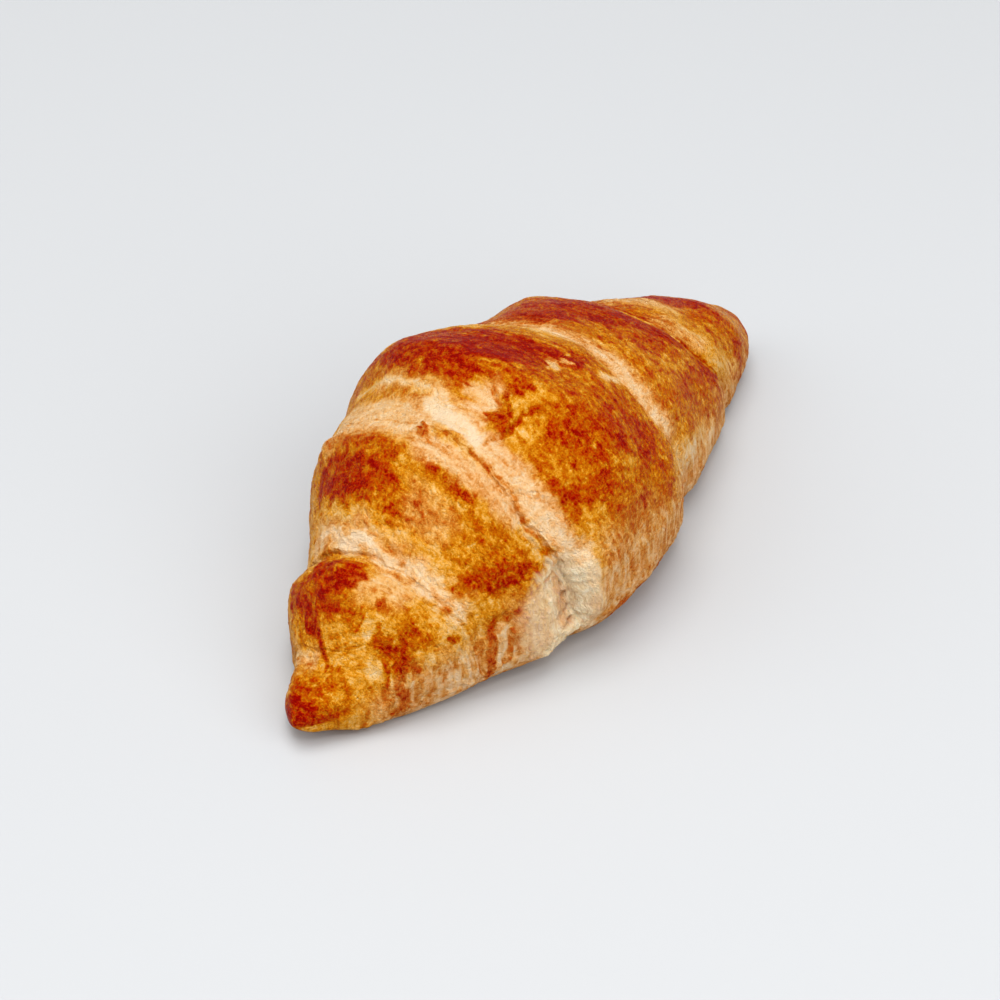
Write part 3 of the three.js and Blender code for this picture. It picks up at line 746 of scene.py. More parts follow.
# where the egg wash missed the dough, which stays paler and duller: 1 is bare
BARE = [
    (1, 0.9, 1.9, 1.6, [(-48.8, 150), (-49, 110), (-49.4, 84), (-49, 56), (-47.6, 34)]),
    (0.8, 0.8, 1.4, 1.4, [(-67.4, 150), (-67.6, 122), (-67.6, 100)]),
    (0.7, 0.8, 3.2, 2.2, [(-55, 84), (-53.6, 74), (-54, 64)]),
    (1, 0.9, 2.2, 1, [(-33.2, 92), (-33.4, 74), (-33, 60), (-32.6, 48)]),
    (1, 0.85, 4.2, 2.4, [(-32, 140), (-29.6, 118), (-29, 100)]),
    (1, 0.95, 2.8, 1.4, [(-24, 100), (-26.4, 88), (-27.6, 74), (-28.4, 58), (-28.2, 36)]),
    (1, 0.95, 2.8, 1.4, [(-28.2, 36), (-27, 20), (-25.4, -12), (-24, -28)]),
    (1, 0.9, 2, 1, [(-21.4, 87), (-17.4, 87)]),
    (0.7, 0.8, 1.6, 1.4, [(-21.6, 130), (-21.4, 110), (-22, 98)]),
    (1, 0.9, 2.4, 2, [(8.8, 122), (11, 112), (12.2, 98), (12.8, 80), (12.8, 62), (12.4, 46), (14, 30)]),
    (0.8, 0.9, 1.2, 0.8, [(4.4, 66.5), (9, 65)]),
    (0.8, 0.9, 0.9, 0.6, [(-3.6, 80), (-0.6, 81)]),
    (0.8, 0.8, 3, 3, [(43, 112), (48, 98), (52, 94)]),
    (0.8, 0.7, 2, 2, [(42.6, 80), (45, 66), (48, 52)]),
    (0.7, 0.6, 2.4, 2, [(-42, 88), (-41.6, 70)]),
    (0.9, 0.9, 2.6, 1, [(-42.6, 10), (-43.2, -22)]),
    (0.8, 0.7, 2.6, 2, [(-61, 14), (-61.4, -10)]),
    (0.9, 0.85, 1.5, 0.8, [(-20.4, 89), (-18.2, 90.5)]),
    (0.8, 0.85, 2, 1.2, [(-24.8, 101), (-27.2, 88)]),
    (0.7, 0.7, 2.6, 1.6, [(-28.5, 140), (-28.5, 122), (-29, 107)]),
    (0, 0.95, 1.5, 0.7, [(-23.2, 81), (-22.2, 77), (-18.8, 75), (-15.4, 69)]),
]
# torn crumb in the opening: 1 is all crumb
CRUMB = [
    (0.84, 1, 3.4, 1.6, [(-31, 18), (-30.2, 4), (-29.6, -8), (-31, -22)]),
    (0.66, 0.8, 2.4, 2, [(-35.4, 14), (-36, 4), (-35.5, -14)]),
    # less crumb in the hollow and along its upper rim, so that the painted shade there shows
    (0.4, 0.9, 1.7, 1, [(-29.6, 13), (-28.9, 4), (-28.8, -7)]),
    (0.3, 0.9, 0.5, 0.35, [(-32.6, 19), (-30.6, 18), (-28.4, 15), (-27.4, 11)]),
    (1, 1, 1.2, 1, [(-26.9, 17), (-26.3, 6), (-25.8, -4), (-25.7, -17)]),
    (0.55, 0.8, 1.3, 1.2, [(-24.4, 12), (-23.8, -6), (-23.2, -24)]),
]
SOLE_LEVEL = 0.5
# above the turns where it sets in, the strokes are marked this many degrees too high
MARKED_HIGHER = 2.2
MARKED_FROM = (-10, 25)

# Noise that breaks up the browning. Sizes are millimetres along the roll, then round it.
# A swirl is how far slow waves bend the lines, and the seed of the waves.
SWIRL = (0.8, 55)
STREAKS = {"sizes": (2.0, 7.0), "layers": 3, "seed": 51, "gain": 0.65}
STRANDS = {"sizes": (0.9, 4.5), "layers": 2, "seed": 56, "gain": 0.7}
OCHRE = {"sizes": (1.5, 10.0), "swirl": (0.7, 58), "seed": 59, "shown": (0.1, 0.6), "level": 0.22}
PATCHES = {"size": 2.2, "seed": 66, "shown": (0.05, 0.5), "level": 0.16}
BLOT_SWIRL = (0.4, 70)
BLOTS = [
    # share, sizes, seed
    (0.65, (2.6, 3.8), 71),
    (0.8, (1.4, 2.1), 72),
]
SPECKS = [
    # share, size, seed
    (0.7, 0.85, 73),
    (0.4, 0.5, 74),
]
CELL_RUNS = [(0.6, (1.6, 10.0), 63), (0.8, (0.8, 3.4), 64)]
CELL_RUN_SHARE = 1.3
CELL_GRAIN = [(0.6, (0.55, 2.0), 65)]
# how far the strokes are moved: reach in millimetres, and the seeds of the slow and quick parts
SHIFT_ALONG = (1.3, 3, 7)
SHIFT_ROUND = (1.4, 11, 13)
SLOW_SHIFT_SIZE = 5
QUICK_SHIFT_SIZE = 1.5
QUICK_SHIFT = 0.9
STREAK_SHIFT = 1.6
FINE_SHARE = 0.4
# the lower flank, where the wash thins out: degrees round it, x along it, and the brown runs
FRINGE_TURN = 14
FRINGE_UNEVEN = 10
FRINGE_SIZES = (5.0, 18)
FRINGE_SEED = 61
FRINGE_BLEND = (-14, 12)
FRINGE_ALONG = (-69, -61)
RUNS_SHOWN = (-0.4, 0.6)
RUNS_PER_DEGREE = 0.012
RUNS_FROM = 8
RUNS_COVER = 0.5
RUNS_LEVEL = 0.17
RUNS_EVEN = 0.2
RUNS_FADE = (0.45, 0.65)
FACES_OUT = (-60, 240)
# levels and places between which an effect sets in
PALE = (0.2, 0.45)
WELL_BAKED = (0.25, 0.6)
NEARLY_BURNT = (0.8, 1)
NEAR_END = (-28, -40)
SOLE_FRONT = (-60, -30)
SOLE_BACK = (215, 245)
HOLE_RIM = (0.25, 0.7)
# painted shade: how much of the crumb colour is hidden in the shaded holes
HOLE_SHADE_HIDES_CRUMB = 0.85
# how much of each noise is added: at least, and more where the second name says
MOTTLE = 0.07
MOTTLE_WELL_BAKED = 0.20
MOTTLE_BURNT_LOSS = 0.1
MOTTLE_SOLE = 0.15
STREAK_LEVEL = 0.04
STREAK_WELL_BAKED = 0.04
STRAND_LEVEL = 0.04
STRAND_NEAR_END = 0.09


def unrolled(turn):
    """Millimetres round the skin in the measure that the strokes are given in."""
    return (turn + MARKED_HIGHER * ease(*MARKED_FROM, turn)) * DEGREE_MM


def distance_to(points, x, across):
    """Millimetres on the unrolled skin from a line of points (x, degrees)."""
    line = np.array([(x_at, degrees * DEGREE_MM) for x_at, degrees in points], float)
    if len(line) == 1:
        return np.hypot(x - line[0, 0], across - line[0, 1])
    nearest = np.full(x.shape, np.inf)
    for start, end in zip(line[:-1], line[1:]):
        step = end - start
        t = np.clip(((x - start[0]) * step[0] + (across - start[1]) * step[1]) / (step @ step), 0, 1)
        away = np.hypot(x - start[0] - t * step[0], across - start[1] - t * step[1])
        nearest = np.minimum(nearest, away)
    return nearest


def painted_over(field, strokes, x, across):
    for value, strength, width, soft, points in strokes:
        near = 1 - ease(width - soft, width + soft, distance_to(points, x, across))
        field = field + (value - field) * near * strength
    return field


def summed_noise(rows, place):
    total = 0.0
    for share, sizes, seed in rows:
        total = total + share * noise(place(*sizes), seed)
    return total


def mottling(at):
    """Uneven browning in blots, a little longer round the roll than along it."""
    total = summed_noise(BLOTS, lambda *sizes: at.fibres(*sizes, *BLOT_SWIRL))
    for share, size, seed in SPECKS:
        total = total + share * noise(at.body / size, seed)
    return total


def in_holes(at):
    """1 inside the small holes at the foot of the opening's lip, 0 elsewhere."""
    share = np.zeros(at.x.shape)
    for x, degrees, half_x, half_round in HOLES:
        sideways = (unrolled(at.turn) - degrees * DEGREE_MM) / half_round
        deep = np.exp(-(((at.x - x) / half_x) ** 2) - sideways**2)
        share = np.maximum(share, ease(*HOLE_RIM, deep))
    return share


def shift(at, reach, slow_seed, quick_seed):
    """How far uneven baking moves the strokes, in millimetres."""
    slow = reach * layered(at.body / SLOW_SHIFT_SIZE, 2, slow_seed)
    return slow + QUICK_SHIFT * noise(at.body / QUICK_SHIFT_SIZE, quick_seed)


def flecks_in_pale(at, level):
    """Ochre streaks and patches in the pale dough."""
    pale = 1 - ease(*PALE, level)
    lines = ease(*OCHRE["shown"], noise(at.fibres(*OCHRE["sizes"], *OCHRE["swirl"]), OCHRE["seed"]))
    patches = ease(*PATCHES["shown"], noise(at.body / PATCHES["size"], PATCHES["seed"]))
    return pale * (OCHRE["level"] * lines + PATCHES["level"] * patches)


def lower_flank(at):
    """How much a point is on the thinly washed flank, and how much in one of its brown runs."""
    fringe = FRINGE_TURN + FRINGE_UNEVEN * noise(at.grain(*FRINGE_SIZES), FRINGE_SEED)
    low = (1 - ease(*FRINGE_BLEND, at.turn - fringe)) * ease(*FRINGE_ALONG, at.x)
    cells = CELL_RUN_SHARE * summed_noise(CELL_RUNS, at.grain) + summed_noise(CELL_GRAIN, at.grain)
    return low, ease(*RUNS_SHOWN, cells + RUNS_PER_DEGREE * (at.turn + RUNS_FROM))


def browning(at):
    """The browning level, the bare share and the crumb share of each point, with painted shade in the
    holes and under a few strokes.
    """
    streaks = layered(at.grain(*STREAKS["sizes"]), STREAKS["layers"], STREAKS["seed"], STREAKS["gain"])
    fibres = at.fibres(*STRANDS["sizes"], *SWIRL)
    strands = layered(fibres, STRANDS["layers"], STRANDS["seed"], STRANDS["gain"])
    along_shift = shift(at, *SHIFT_ALONG)
    round_shift = shift(at, *SHIFT_ROUND)
    across = unrolled(at.turn)
    place = (at.x + along_shift, across + round_shift + STREAK_SHIFT * streaks)
    level = np.interp(place[0], column(BASE_LEVEL, 0), column(BASE_LEVEL, 1))
    level = painted_over(level, BROWNING_AND_SHADE, *place)
    bare = painted_over(np.zeros(at.x.shape), BARE, *place)
    crumb = painted_over(np.zeros(at.x.shape), CRUMB, *place)
    level = level + flecks_in_pale(at, level)
    fine_across = across + FINE_SHARE * round_shift + FINE_SHARE * streaks
    level = painted_over(level, FINE_STROKES, at.x + FINE_SHARE * along_shift, fine_across)
    low, runs = lower_flank(at)
    faces_out = (at.turn > FACES_OUT[0]) & (at.turn < FACES_OUT[1])
    bare = np.maximum(bare, low * (1 - RUNS_COVER * runs) * faces_out)
    mottle = mottling(at)
    baked = ease(*WELL_BAKED, level)
    kept = 1 - MOTTLE_BURNT_LOSS * ease(*NEARLY_BURNT, level)
    level = level + mottle * (MOTTLE + MOTTLE_WELL_BAKED * baked * kept)
    level = level + streaks * (STREAK_LEVEL + STREAK_WELL_BAKED * baked)
    level = level + strands * (STRAND_LEVEL + STRAND_NEAR_END * ease(*NEAR_END, at.x))
    level = level + RUNS_LEVEL * low * (runs - RUNS_EVEN) * (1 - ease(*RUNS_FADE, level))
    sole = np.clip(1 - ease(*SOLE_FRONT, at.turn) + ease(*SOLE_BACK, at.turn), 0, 1)
    level = level + (SOLE_LEVEL + MOTTLE_SOLE * mottle - level) * sole
    # painted shade in the small holes: they are browned, made bare and lose crumb colour
    hole_shade = in_holes(at)
    level = level + (HOLE_SHADE_LEVEL - level) * hole_shade
    bare = bare + (1 - bare) * hole_shade
    crumb = crumb * (1 - HOLE_SHADE_HIDES_CRUMB * hole_shade)
    return np.clip(level, 0, 1), np.clip(bare, 0, 1), np.clip(crumb, 0, 1)


# Fine relief of the skin. Heights are in millimetres, and sizes as above.
CREASES = [
    # height, half width, softness, points (x, degrees)
    (-0.35, 0.15, 0.45, [(-27.5, 78), (-25.8, 77), (-23.8, 75), (-21, 75), (-18.8, 75), (-17, 73),
        (-15.2, 68)]),
    (0.35, 0.3, 0.6, [(-27, 80), (-25, 79.4), (-23, 77.6), (-20.4, 77.4), (-17.6, 76)]),
    (-0.35, 0.1, 0.35, [(-16.8, 83), (-18.3, 81), (-20.4, 78)]),
    (-0.25, 0.05, 0.3, [(-31, 57), (-29, 54), (-27, 46)]),
    (0.25, 0.2, 0.4, [(-29.6, 57), (-27.4, 53), (-25.8, 46)]),
    (-0.3, 0.1, 0.4, [(-23.4, 92), (-20.5, 94), (-17, 93), (-16, 90), (-17, 87), (-19, 84)]),
    (0.5, 0.2, 0.4, [(-29.5, 98), (-31, 94)]),
    (0.45, 0.2, 0.4, [(-30.8, 98), (-31.9, 93)]),
    (0.5, 0.4, 0.5, [(-31, 91), (-29.8, 89), (-29, 85), (-29.8, 80)]),
    (-0.5, 0.15, 0.45, [(-33.4, 43), (-32.4, 36), (-31.6, 30)]),
    (-0.4, 0.2, 0.6, [(-47.3, 138), (-47.3, 110), (-47.7, 92), (-48.6, 76)]),
    (-0.35, 0.2, 0.6, [(-45.2, 138), (-45.4, 110), (-46.2, 92), (-46.8, 80)]),
    # strands torn from the lip of the opening
    (0.5, 0.1, 0.3, [(-27.2, 5), (-30, 5.5)]),
    (0.5, 0.1, 0.3, [(-26.8, -1), (-29.6, -1.5)]),
    (0.5, 0.1, 0.3, [(-26.6, -6.5), (-29.4, -8)]),
    (0.45, 0.1, 0.3, [(-26.4, -11), (-29.4, -15)]),
    (0.4, 0.1, 0.3, [(-26.2, -15), (-29.8, -20)]),
    (0.3, 0.2, 0.5, [(-32, 12), (-32.4, -2), (-33.4, -18)]),
    (0.3, 0.2, 0.5, [(-34.4, 12), (-34.8, -2), (-35.6, -16)]),
]
HOLE_DEPTH = 1.6
UNEVEN = [
    # height, size, layers, seed
    (0.34, 9, 2, 5),
    (0.1, 3.2, 1, 9),
]
BUBBLES = {"size": 1.2, "seed": 10, "height": 0.05, "where_pale": 0.05}
WRINKLES = [
    # sizes, swirl, seed, least height, and what is added in each place
    ((1.7, 7.0), (0.5, 23), 21, 0.07, {"near_end": 0.17, "beside_edge": 0.12, "flank": 0.07}),
    ((0.9, 4.5), SWIRL, 56, 0.03, {"near_end": 0.12, "pale": 0.04, "flank": 0.05}),
]
WRINKLE_GAIN = 0.6
WRINKLED_FROM = (-30, -40)
WRINKLED_PALE = (0.25, 0.6)
BESIDE_EDGE = 5.0
FLANK = (0, 25)
# broken steps of dough layers: pitch, then the shares of a pitch that rise and fall
STEP_PITCH = 1.6
STEP_RISE = 0.8
STEP_FALL = 0.2
STEP_DRIFT = 0.5
STEP_DRIFT_SIZES = (9.0, 9.0)
STEP_REACH = 4.5
STEP_SHOWN = (-0.2, 0.3)
STEP_SIZES = (4.0, 11.0)
STEP_SEED = 41
STEP_OVER = 0.10
STEP_UNDER = 0.28
CREASE_SHIFT = 0.5
CREASE_SHIFT_SIZE = 2.2
CREASE_SEEDS = (34, 33)
TORN = {"sizes": (1.1, 6.0), "swirl": (0.6, 30), "seed": 31, "height": 0.4}
PITS = {"sizes": (1.6, 2.2, 2.2), "seed": 35, "shown": (0.35, 0.7), "depth": 0.8}
# sines between which relief sets in above the sole, and what is left of it on the sole
OUTWARD = (-0.6, -0.25)
SOLE_RELIEF = 0.2
OUTWARD_RELIEF = 0.8


def ridged(points, layers, seed):
    return 1 - 2 * np.abs(layered(points, layers, seed, WRINKLE_GAIN))


def layer_steps(at, index, drift):
    """Saw teeth beside one edge, where the layers of dough show."""
    away = away_from(index, at.x, at.turn)
    step = ((away + drift) / STEP_PITCH) % 1.0
    saw = np.where(step < STEP_RISE, step / STEP_RISE, (1 - step) / STEP_FALL) - 0.5
    shown = np.exp(-((away / STEP_REACH) ** 2))
    shown = shown * ease(*STEP_SHOWN, noise(at.grain(*STEP_SIZES), STEP_SEED + 1 + index))
    return np.where(is_over(index, at.wrap), STEP_OVER, STEP_UNDER) * saw * shown


def fine_relief(at, level, crumb):
    places = {
        "near_end": ease(*WRINKLED_FROM, at.x),
        "beside_edge": np.zeros(at.x.shape),
        "flank": 1 - ease(*FLANK, at.turn),
        "pale": 1 - ease(*WRINKLED_PALE, level),
    }
    for index in range(len(EDGES)):
        beside = np.exp(-away_from(index, at.x, at.turn) / BESIDE_EDGE)
        places["beside_edge"] = np.maximum(places["beside_edge"], beside)
    height = 0.0
    for rise, size, layers, seed in UNEVEN:
        height = height + rise * layered(at.body / size, layers, seed)
    bubbled = BUBBLES["height"] + BUBBLES["where_pale"] * places["pale"]
    height = height + bubbled * noise(at.body / BUBBLES["size"], BUBBLES["seed"])
    for sizes, swirl, seed, least, more in WRINKLES:
        rise = least
        for name, share in more.items():
            rise = rise + share * places[name]
        height = height + rise * ridged(at.fibres(*sizes, *swirl), 2, seed)
    drift = STEP_DRIFT * noise(at.grain(*STEP_DRIFT_SIZES), STEP_SEED)
    for index in range(len(EDGES)):
        height = height + layer_steps(at, index, drift)
    x_seed, round_seed = CREASE_SEEDS
    x = at.x + CREASE_SHIFT * noise(at.body / CREASE_SHIFT_SIZE, x_seed)
    across = unrolled(at.turn) + CREASE_SHIFT * noise(at.body / CREASE_SHIFT_SIZE, round_seed)
    for rise, width, soft, points in CREASES:
        height = height + rise * (1 - ease(width, width + soft, distance_to(points, x, across)))
    strands = ridged(at.fibres(*TORN["sizes"], *TORN["swirl"]), 2, TORN["seed"])
    pits = ease(*PITS["shown"], noise(at.body / np.array(PITS["sizes"]), PITS["seed"]))
    height = height + crumb * (TORN["height"] * strands - PITS["depth"] * pits)
    height = height - HOLE_DEPTH * in_holes(at)
    return height * (SOLE_RELIEF + OUTWARD_RELIEF * ease(*OUTWARD, at.sine))


# The skin as three meshes that part under the lips, each fine where it shows.
PIECES = {
    # rows of faces in each wrap, and columns round the roll
    "crust_near_end": {"rows": {0: 68, 1: 68, 2: 88}, "columns": 330},
    "crust_middle": {"rows": {3: 200}, "columns": 400},
    "crust_far_end": {"rows": {4: 104, 5: 104}, "columns": 330},
}
GRAIN_SIZES = (0.6, 3.0)
SOLE_SHARE = 0.13
SOLE_FROM = 205.0
SOLE_TO = 335.0
CROWDING = 0.5
# the torn face between one wrap and the next: its rows, and how its layers bulge and brown
WALL_ROWS = 7
LAYER_SIZE = (2.2, 3.2, 1.0)
LAYER_SEED = 81
LAYER_BULGE = 0.25
LAYER_BROWNER = 0.12
BULGING_HEIGHT = 3
TORN_HEIGHT = (0.9, 2.2)
UNTORN_BROWNER = 0.10
TORN_BARE = 0.8


def turns(columns):
    """Angles of the columns: few on the sole, many on the sides and top."""
    sole = int(columns * SOLE_SHARE)
    top = columns - sole
    under = SOLE_FROM + (SOLE_TO - SOLE_FROM) * np.arange(sole) / sole
    over = SOLE_TO + (360 - SOLE_TO + SOLE_FROM) * np.arange(top) / top
    return (np.concatenate([under, over]) + 90) % 360 - 90


def rows_of(wrap, count, turn):
    """Rings of one wrap, crowded towards its edges."""
    even = np.arange(count + 1) / count
    crowded = even - CROWDING * np.sin(2 * np.pi * even) / (2 * np.pi)
    low = np.full(turn.shape, NEAR_TIP_X)
    high = np.full(turn.shape, FAR_TIP_X)
    if wrap > 0:
        low = edge_at(wrap - 1, turn) + (LIP_GAP if EDGES[wrap - 1]["over"] > 0 else 0)
    if wrap < len(EDGES):
        high = edge_at(wrap, turn) - (LIP_GAP if EDGES[wrap]["over"] < 0 else 0)
    return low + (high - low) * crowded[:, None]


def skin_rings(wrap, x, turn):
    """Points and looks of some rings of one wrap."""
    full_turn = np.broadcast_to(turn, x.shape)
    at = Places(x, full_turn, np.full(x.shape, wrap))
    level, bare, crumb = browning(at)
    points = skin(x, full_turn, at.wrap, fine_relief(at, level, crumb))
    looks = np.stack([level, bare, crumb], -1)
    return {"points": points, "looks": looks, "grain": at.fibres(*GRAIN_SIZES, *SWIRL)}


def wall_rings(low, high):
    """The torn face of dough between the lip of one wrap and the wrap under it, in layers."""
    share = (np.arange(WALL_ROWS) + 1) / (WALL_ROWS + 1)
    rings = {}
    for key in low:
        first = low[key][-1]
        last = high[key][0]
        rings[key] = first + (last - first) * share[:, None, None]
    height = np.linalg.norm(high["points"][0] - low["points"][-1], axis=-1) / MM
    layer = noise(rings["points"] / MM / np.array(LAYER_SIZE), LAYER_SEED)
    bulge = LAYER_BULGE * np.minimum(height, BULGING_HEIGHT) * layer * np.sin(np.pi * share)[:, None]
    rings["points"][..., 0] += bulge * MM
    torn = ease(*TORN_HEIGHT, height)
    rings["looks"][..., 0] += LAYER_BROWNER * layer + UNTORN_BROWNER * (1 - torn)
    rings["looks"][..., 1] = np.maximum(rings["looks"][..., 1], TORN_BARE * torn)
    return rings


def rings_of(plan):
    """All rings of a piece in order, with the first ring of the next wrap at its end."""
    turn = turns(plan["columns"])
    parts = []
    for wrap, count in plan["rows"].items():
        rings = skin_rings(wrap, rows_of(wrap, count, turn), turn)
        if parts:
            parts.append(wall_rings(parts[-1], rings))
        parts.append(rings)
    beyond = max(plan["rows"]) + 1
    if beyond <= len(EDGES):
        rings = skin_rings(beyond, rows_of(beyond, 1, turn)[:1], turn)
        parts += [wall_rings(parts[-1], rings), rings]
    return {key: np.concatenate([part[key] for part in parts]) for key in parts[0]}


def put_attribute(mesh, name, kind, field, values):
    layer = mesh.attributes.new(name, kind, "POINT")
    layer.data.foreach_set(field, np.ascontiguousarray(values, np.float32).ravel())


def closing_fan(first, columns, tip, flipped):
    here = first + np.arange(columns)
    beyond = first + (np.arange(columns) + 1) % columns
    tips = np.full(columns, tip)
    order = (tips, beyond, here) if flipped else (tips, here, beyond)
    return np.stack(order, -1).tolist()


def crust_mesh(name, plan):
    rings = rings_of(plan)
    rows, columns = rings["looks"].shape[:2]
    start = np.arange(rows - 1)[:, None] * columns
    here = np.arange(columns)[None, :]
    beyond = (here + 1) % columns
    corners = [start + here, start + here + columns, start + beyond + columns, start + beyond]
    faces = np.stack(np.broadcast_arrays(*corners), -1).reshape(-1, 4).tolist()
    values = {key: field.reshape(-1, 3) for key, field in rings.items()}
    ends = [(0, NEAR_TIP_X, 0, False), (len(EDGES), FAR_TIP_X, (rows - 1) * columns, True)]
    for wrap, tip_x, first, flipped in ends:
        if wrap not in plan["rows"]:
            continue
        faces += closing_fan(first, columns, len(values["points"]), flipped)
        tip = {key: field[first : first + 1] for key, field in values.items()}
        tip["points"] = skin(np.array([tip_x]), np.array([0.0]), np.array([wrap]))
        values = {key: np.concatenate([field, tip[key]]) for key, field in values.items()}
    mesh = bpy.data.meshes.new(name)
    mesh.from_pydata(values["points"].tolist(), [], faces)
    mesh.polygons.foreach_set("use_smooth", [True] * len(mesh.polygons))
    for index, look in enumerate(("level", "bare", "crumb")):
        put_attribute(mesh, look, "FLOAT", "value", np.clip(values["looks"][:, index], 0, 1))
    put_attribute(mesh, "grain", "FLOAT_VECTOR", "vector", values["grain"])
    mesh.update()
    return mesh


# The crust's material. Colours are linear.
WASHED_COLOURS = [
    (0, (0.84, 0.63, 0.37)),
    (0.12, (0.83, 0.53, 0.22)),
    (0.24, (0.8, 0.42, 0.095)),
    (0.36, (0.71, 0.31, 0.022)),
    (0.46, (0.61, 0.225, 0.006)),
    (0.56, (0.535, 0.156, 0.0014)),
    (0.66, (0.49, 0.104, 0.0003)),
    (0.76, (0.455, 0.0585, 0)),
    (0.86, (0.42, 0.0285, 0)),
    (0.94, (0.37, 0.0108, 0)),
    (1, (0.3, 0.0022, 0)),
]
BARE_COLOURS = [
    (0, (0.86, 0.66, 0.45)),
    (0.2, (0.84, 0.56, 0.31)),
    (0.4, (0.77, 0.4, 0.155)),
    (0.6, (0.64, 0.245, 0.045)),
    (0.8, (0.56, 0.137, 0.0127)),
    (1, (0.39, 0.042, 0.0017)),
]
CRUMB_COLOURS = [
    (0, (0.56, 0.31, 0.11)),
    (0.4, (0.92, 0.68, 0.39)),
    (1, (1, 0.88, 0.66)),
]
# noise of the material: scale, detail, roughness
SPECKS_LOOK = (1000.0, 4.0, 0.7)
GRIT_LOOK = (2300.0, 3.0, 0.65)
FIBRES_LOOK = (1.5, 4.0, 0.7)
# how much each field changes the browning: a little everywhere, and more with the level
BROWNER = {"specks": 1.0, "fibres": 0.5, "grit": 0.9}
BROWNER_AT_LEAST = 0.35
BROWNER_WITH_LEVEL = 0.8
# a plain amount, and how much of each field is added to it
TORN_LIGHT = 0.72
TORN_LIGHTER = {"fibres": 1.8, "specks": 0.6}
ROUGHNESS = 0.31
ROUGHER = {"specks": 0.5, "bare": 0.2, "crumb": 0.3}
# relief that is too fine for the meshes
RAISED = {"fibres": 0.5, "specks": 1.1, "grit": 0.6}
BUMP = {"Strength": 1.0, "Distance": 0.0011}
CRUST_SHADER = {
    "Specular IOR Level": 0.055,
    "Specular Tint": (1.0, 0.75, 0.4, 1),
    "Subsurface Weight": 0.03,
    "Subsurface Radius": (1.0, 0.5, 0.2),
    "Subsurface Scale": 0.0008,
}


def set_inputs(node, values):
    for name, value in values.items():
        node.inputs[name].default_value = value


class Nodes:
    """Short calls to make and link shader nodes."""

    def __init__(self, tree):
        self.nodes = tree.nodes
        self.links = tree.links
        self.nodes.clear()

    def set(self, socket, value):
        if isinstance(value, bpy.types.NodeSocket):
            self.links.new(value, socket)
        else:
            socket.default_value = value

    def attribute(self, name, output="Fac"):
        node = self.nodes.new("ShaderNodeAttribute")
        node.attribute_name = name
        return node.outputs[output]

    def math(self, kind, first, second, clamp=False):
        node = self.nodes.new("ShaderNodeMath")
        node.operation = kind
        node.use_clamp = clamp
        self.set(node.inputs[0], first)
        self.set(node.inputs[1], second)
        return node.outputs[0]

    def total(self, *values):
        result = values[0]
        for value in values[1:]:
            result = self.math("ADD", result, value)
        return result

    def shares(self, fields, amounts):
        return [self.math("MULTIPLY", fields[name], amount) for name, amount in amounts.items()]

    def noise(self, vector, scale, detail, roughness):
        node = self.nodes.new("ShaderNodeTexNoise")
        set_inputs(node, {"Scale": scale, "Detail": detail, "Roughness": roughness})
        self.set(node.inputs["Vector"], vector)
        return self.math("SUBTRACT", node.outputs[0], 0.5)

    def ramp(self, stops, value):
        node = self.nodes.new("ShaderNodeValToRGB")
        elements = node.color_ramp.elements
        elements.remove(elements[1])
        for i, (place, colour) in enumerate(stops):
            element = elements[0] if i == 0 else elements.new(place)
            element.position = place
            element.color = (*colour, 1)
        self.set(node.inputs["Fac"], value)
        return node.outputs["Color"]

    def mix(self, share, first, second):
        node = self.nodes.new("ShaderNodeMix")
        node.data_type = "RGBA"
        self.set(node.inputs["Factor"], share)
        self.set(node.inputs[6], first)
        self.set(node.inputs[7], second)
        return node.outputs[2]


def crust_material():
    material = bpy.data.materials.new("baked_crust")
    material.use_nodes = True
    make = Nodes(material.node_tree)
    out = make.nodes.new("ShaderNodeOutputMaterial")
    shader = make.nodes.new("ShaderNodeBsdfPrincipled")
    make.set(out.inputs["Surface"], shader.outputs["BSDF"])
    place = make.nodes.new("ShaderNodeTexCoord").outputs["Object"]
    fields = {name: make.attribute(name) for name in ("level", "bare", "crumb")}
    grain = make.attribute("grain", "Vector")
    fields["specks"] = make.noise(place, *SPECKS_LOOK)
    fields["grit"] = make.noise(place, *GRIT_LOOK)
    fields["fibres"] = make.noise(grain, *FIBRES_LOOK)
    change = make.total(*make.shares(fields, BROWNER))
    with_level = make.math("MULTIPLY", fields["level"], BROWNER_WITH_LEVEL)
    strength = make.math("ADD", BROWNER_AT_LEAST, with_level)
    browner = make.math("MULTIPLY", change, strength)
    level = make.math("ADD", fields["level"], browner, clamp=True)
    crust = make.mix(fields["bare"], make.ramp(WASHED_COLOURS, level), make.ramp(BARE_COLOURS, level))
    lighter = make.total(*make.shares(fields, TORN_LIGHTER))
    torn = make.ramp(CRUMB_COLOURS, make.math("ADD", TORN_LIGHT, lighter, clamp=True))
    make.set(shader.inputs["Base Color"], make.mix(fields["crumb"], crust, torn))
    make.set(shader.inputs["Roughness"], make.total(ROUGHNESS, *make.shares(fields, ROUGHER)))
    set_inputs(shader, CRUST_SHADER)
    bump = make.nodes.new("ShaderNodeBump")
    set_inputs(bump, BUMP)
    make.set(bump.inputs["Height"], make.total(*make.shares(fields, RAISED)))
    make.set(shader.inputs["Normal"], bump.outputs["Normal"])
    return material


def add_object(name, data):
    thing = bpy.data.objects.new(name, data)
    bpy.context.scene.collection.objects.link(thing)
    return thing


def add_crust():
    material = crust_material()
    for name, plan in PIECES.items():
        piece = add_object(name, crust_mesh(name, plan))
        piece.data.materials.append(material)
        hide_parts("croissant")
        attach(piece, "root")


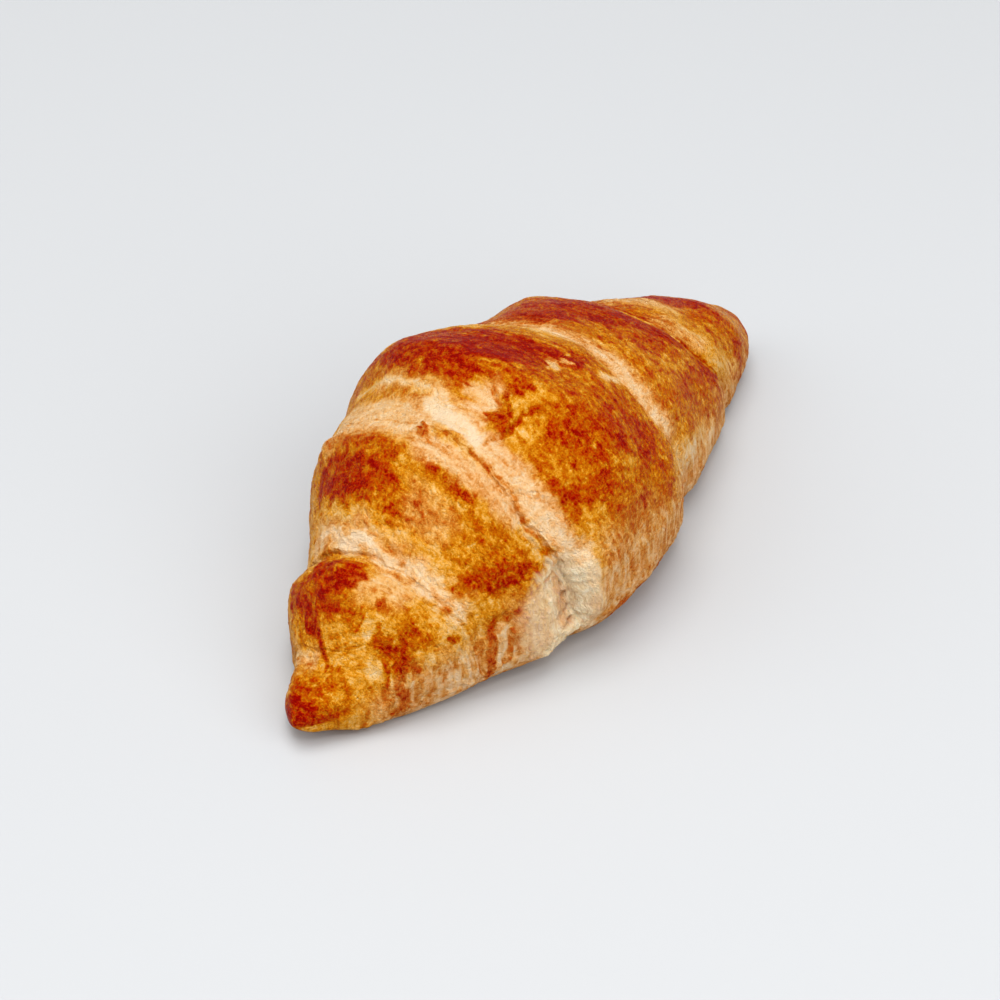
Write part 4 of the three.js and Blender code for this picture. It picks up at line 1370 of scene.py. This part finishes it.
# Floor, light and camera. The camera's place is worked out from the photograph's view, in millimetres.
CAMERA_AT = (-315.5, -241.3, 343.9)
CAMERA_AHEAD = (0.5985, 0.4795, -0.6419)
CAMERA_UP = (0.5128, 0.3863, 0.7667)
LENS = 90.0
SENSOR_WIDTH = 36.0
CLIP_START = 0.01
FLOOR_HALF = 3.0
FLOOR_SHADER = {"Base Color": (0.455, 0.462, 0.471, 1), "Roughness": 0.5, "Specular IOR Level": 0.2}
SKY = {"Color": (0.97, 0.985, 1.0, 1), "Strength": 0.42}
LIGHTS = [
    # name, place and what it points at in metres, size, watts
    ("overhead", (-0.1, 0.1, 1.8), (0, 0, 0), 1.3, 20),
    ("fill", (-0.2, -1.1, 0.9), (0, 0, 0.02), 1.6, 13),
    ("back", (-0.9, 0.9, 1.0), (0, 0, 0.02), 1.6, 7.5),
    ("key", (-0.5, -0.5, 1.3), (0, 0, 0.02), 0.3, 3),
]


def add_floor():
    half = FLOOR_HALF
    corners = [(-half, -half, 0), (half, -half, 0), (half, half, 0), (-half, half, 0)]
    mesh = bpy.data.meshes.new("floor")
    mesh.from_pydata(corners, [], [(0, 1, 2, 3)])
    floor = add_object("floor", mesh)
    material = bpy.data.materials.new("pale_floor")
    material.use_nodes = True
    set_inputs(material.node_tree.nodes["Principled BSDF"], FLOOR_SHADER)
    mesh.materials.append(material)
    floor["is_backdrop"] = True


def add_sky():
    world = bpy.data.worlds.new("soft_sky")
    bpy.context.scene.world = world
    world.use_nodes = True
    set_inputs(world.node_tree.nodes["Background"], SKY)


def add_soft_light(name, place, target, size, power):
    data = bpy.data.lights.new(name, "AREA")
    data.shape = "DISK"
    data.size = size
    data.energy = power
    lamp = add_object(name, data)
    lamp.location = place
    lamp.rotation_euler = (Vector(target) - Vector(place)).to_track_quat("-Z", "Y").to_euler()


def add_camera():
    data = bpy.data.cameras.new("camera")
    data.lens = LENS
    data.sensor_width = SENSOR_WIDTH
    data.clip_start = CLIP_START
    camera = add_object("camera", data)
    ahead = Vector(CAMERA_AHEAD).normalized()
    right = ahead.cross(Vector(CAMERA_UP)).normalized()
    up = right.cross(ahead)
    place = Vector(CAMERA_AT) - Vector((*MIDDLE_OF_BOX, 0))
    axes = Matrix((right, up, -ahead)).transposed().to_4x4()
    camera.matrix_world = Matrix.Translation(place * MM) @ axes
    bpy.context.scene.camera = camera


add_crust()
add_floor()
add_sky()
for light in LIGHTS:
    add_soft_light(*light)
add_camera()
bpy.context.scene.view_settings.view_transform = "Standard"
bpy.context.scene.view_settings.look = "Medium High Contrast"

boxes = {"cad": cad_box, "visual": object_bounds()}
boxes = {name: [[float(value) for value in corner] for corner in box] for name, box in boxes.items()}
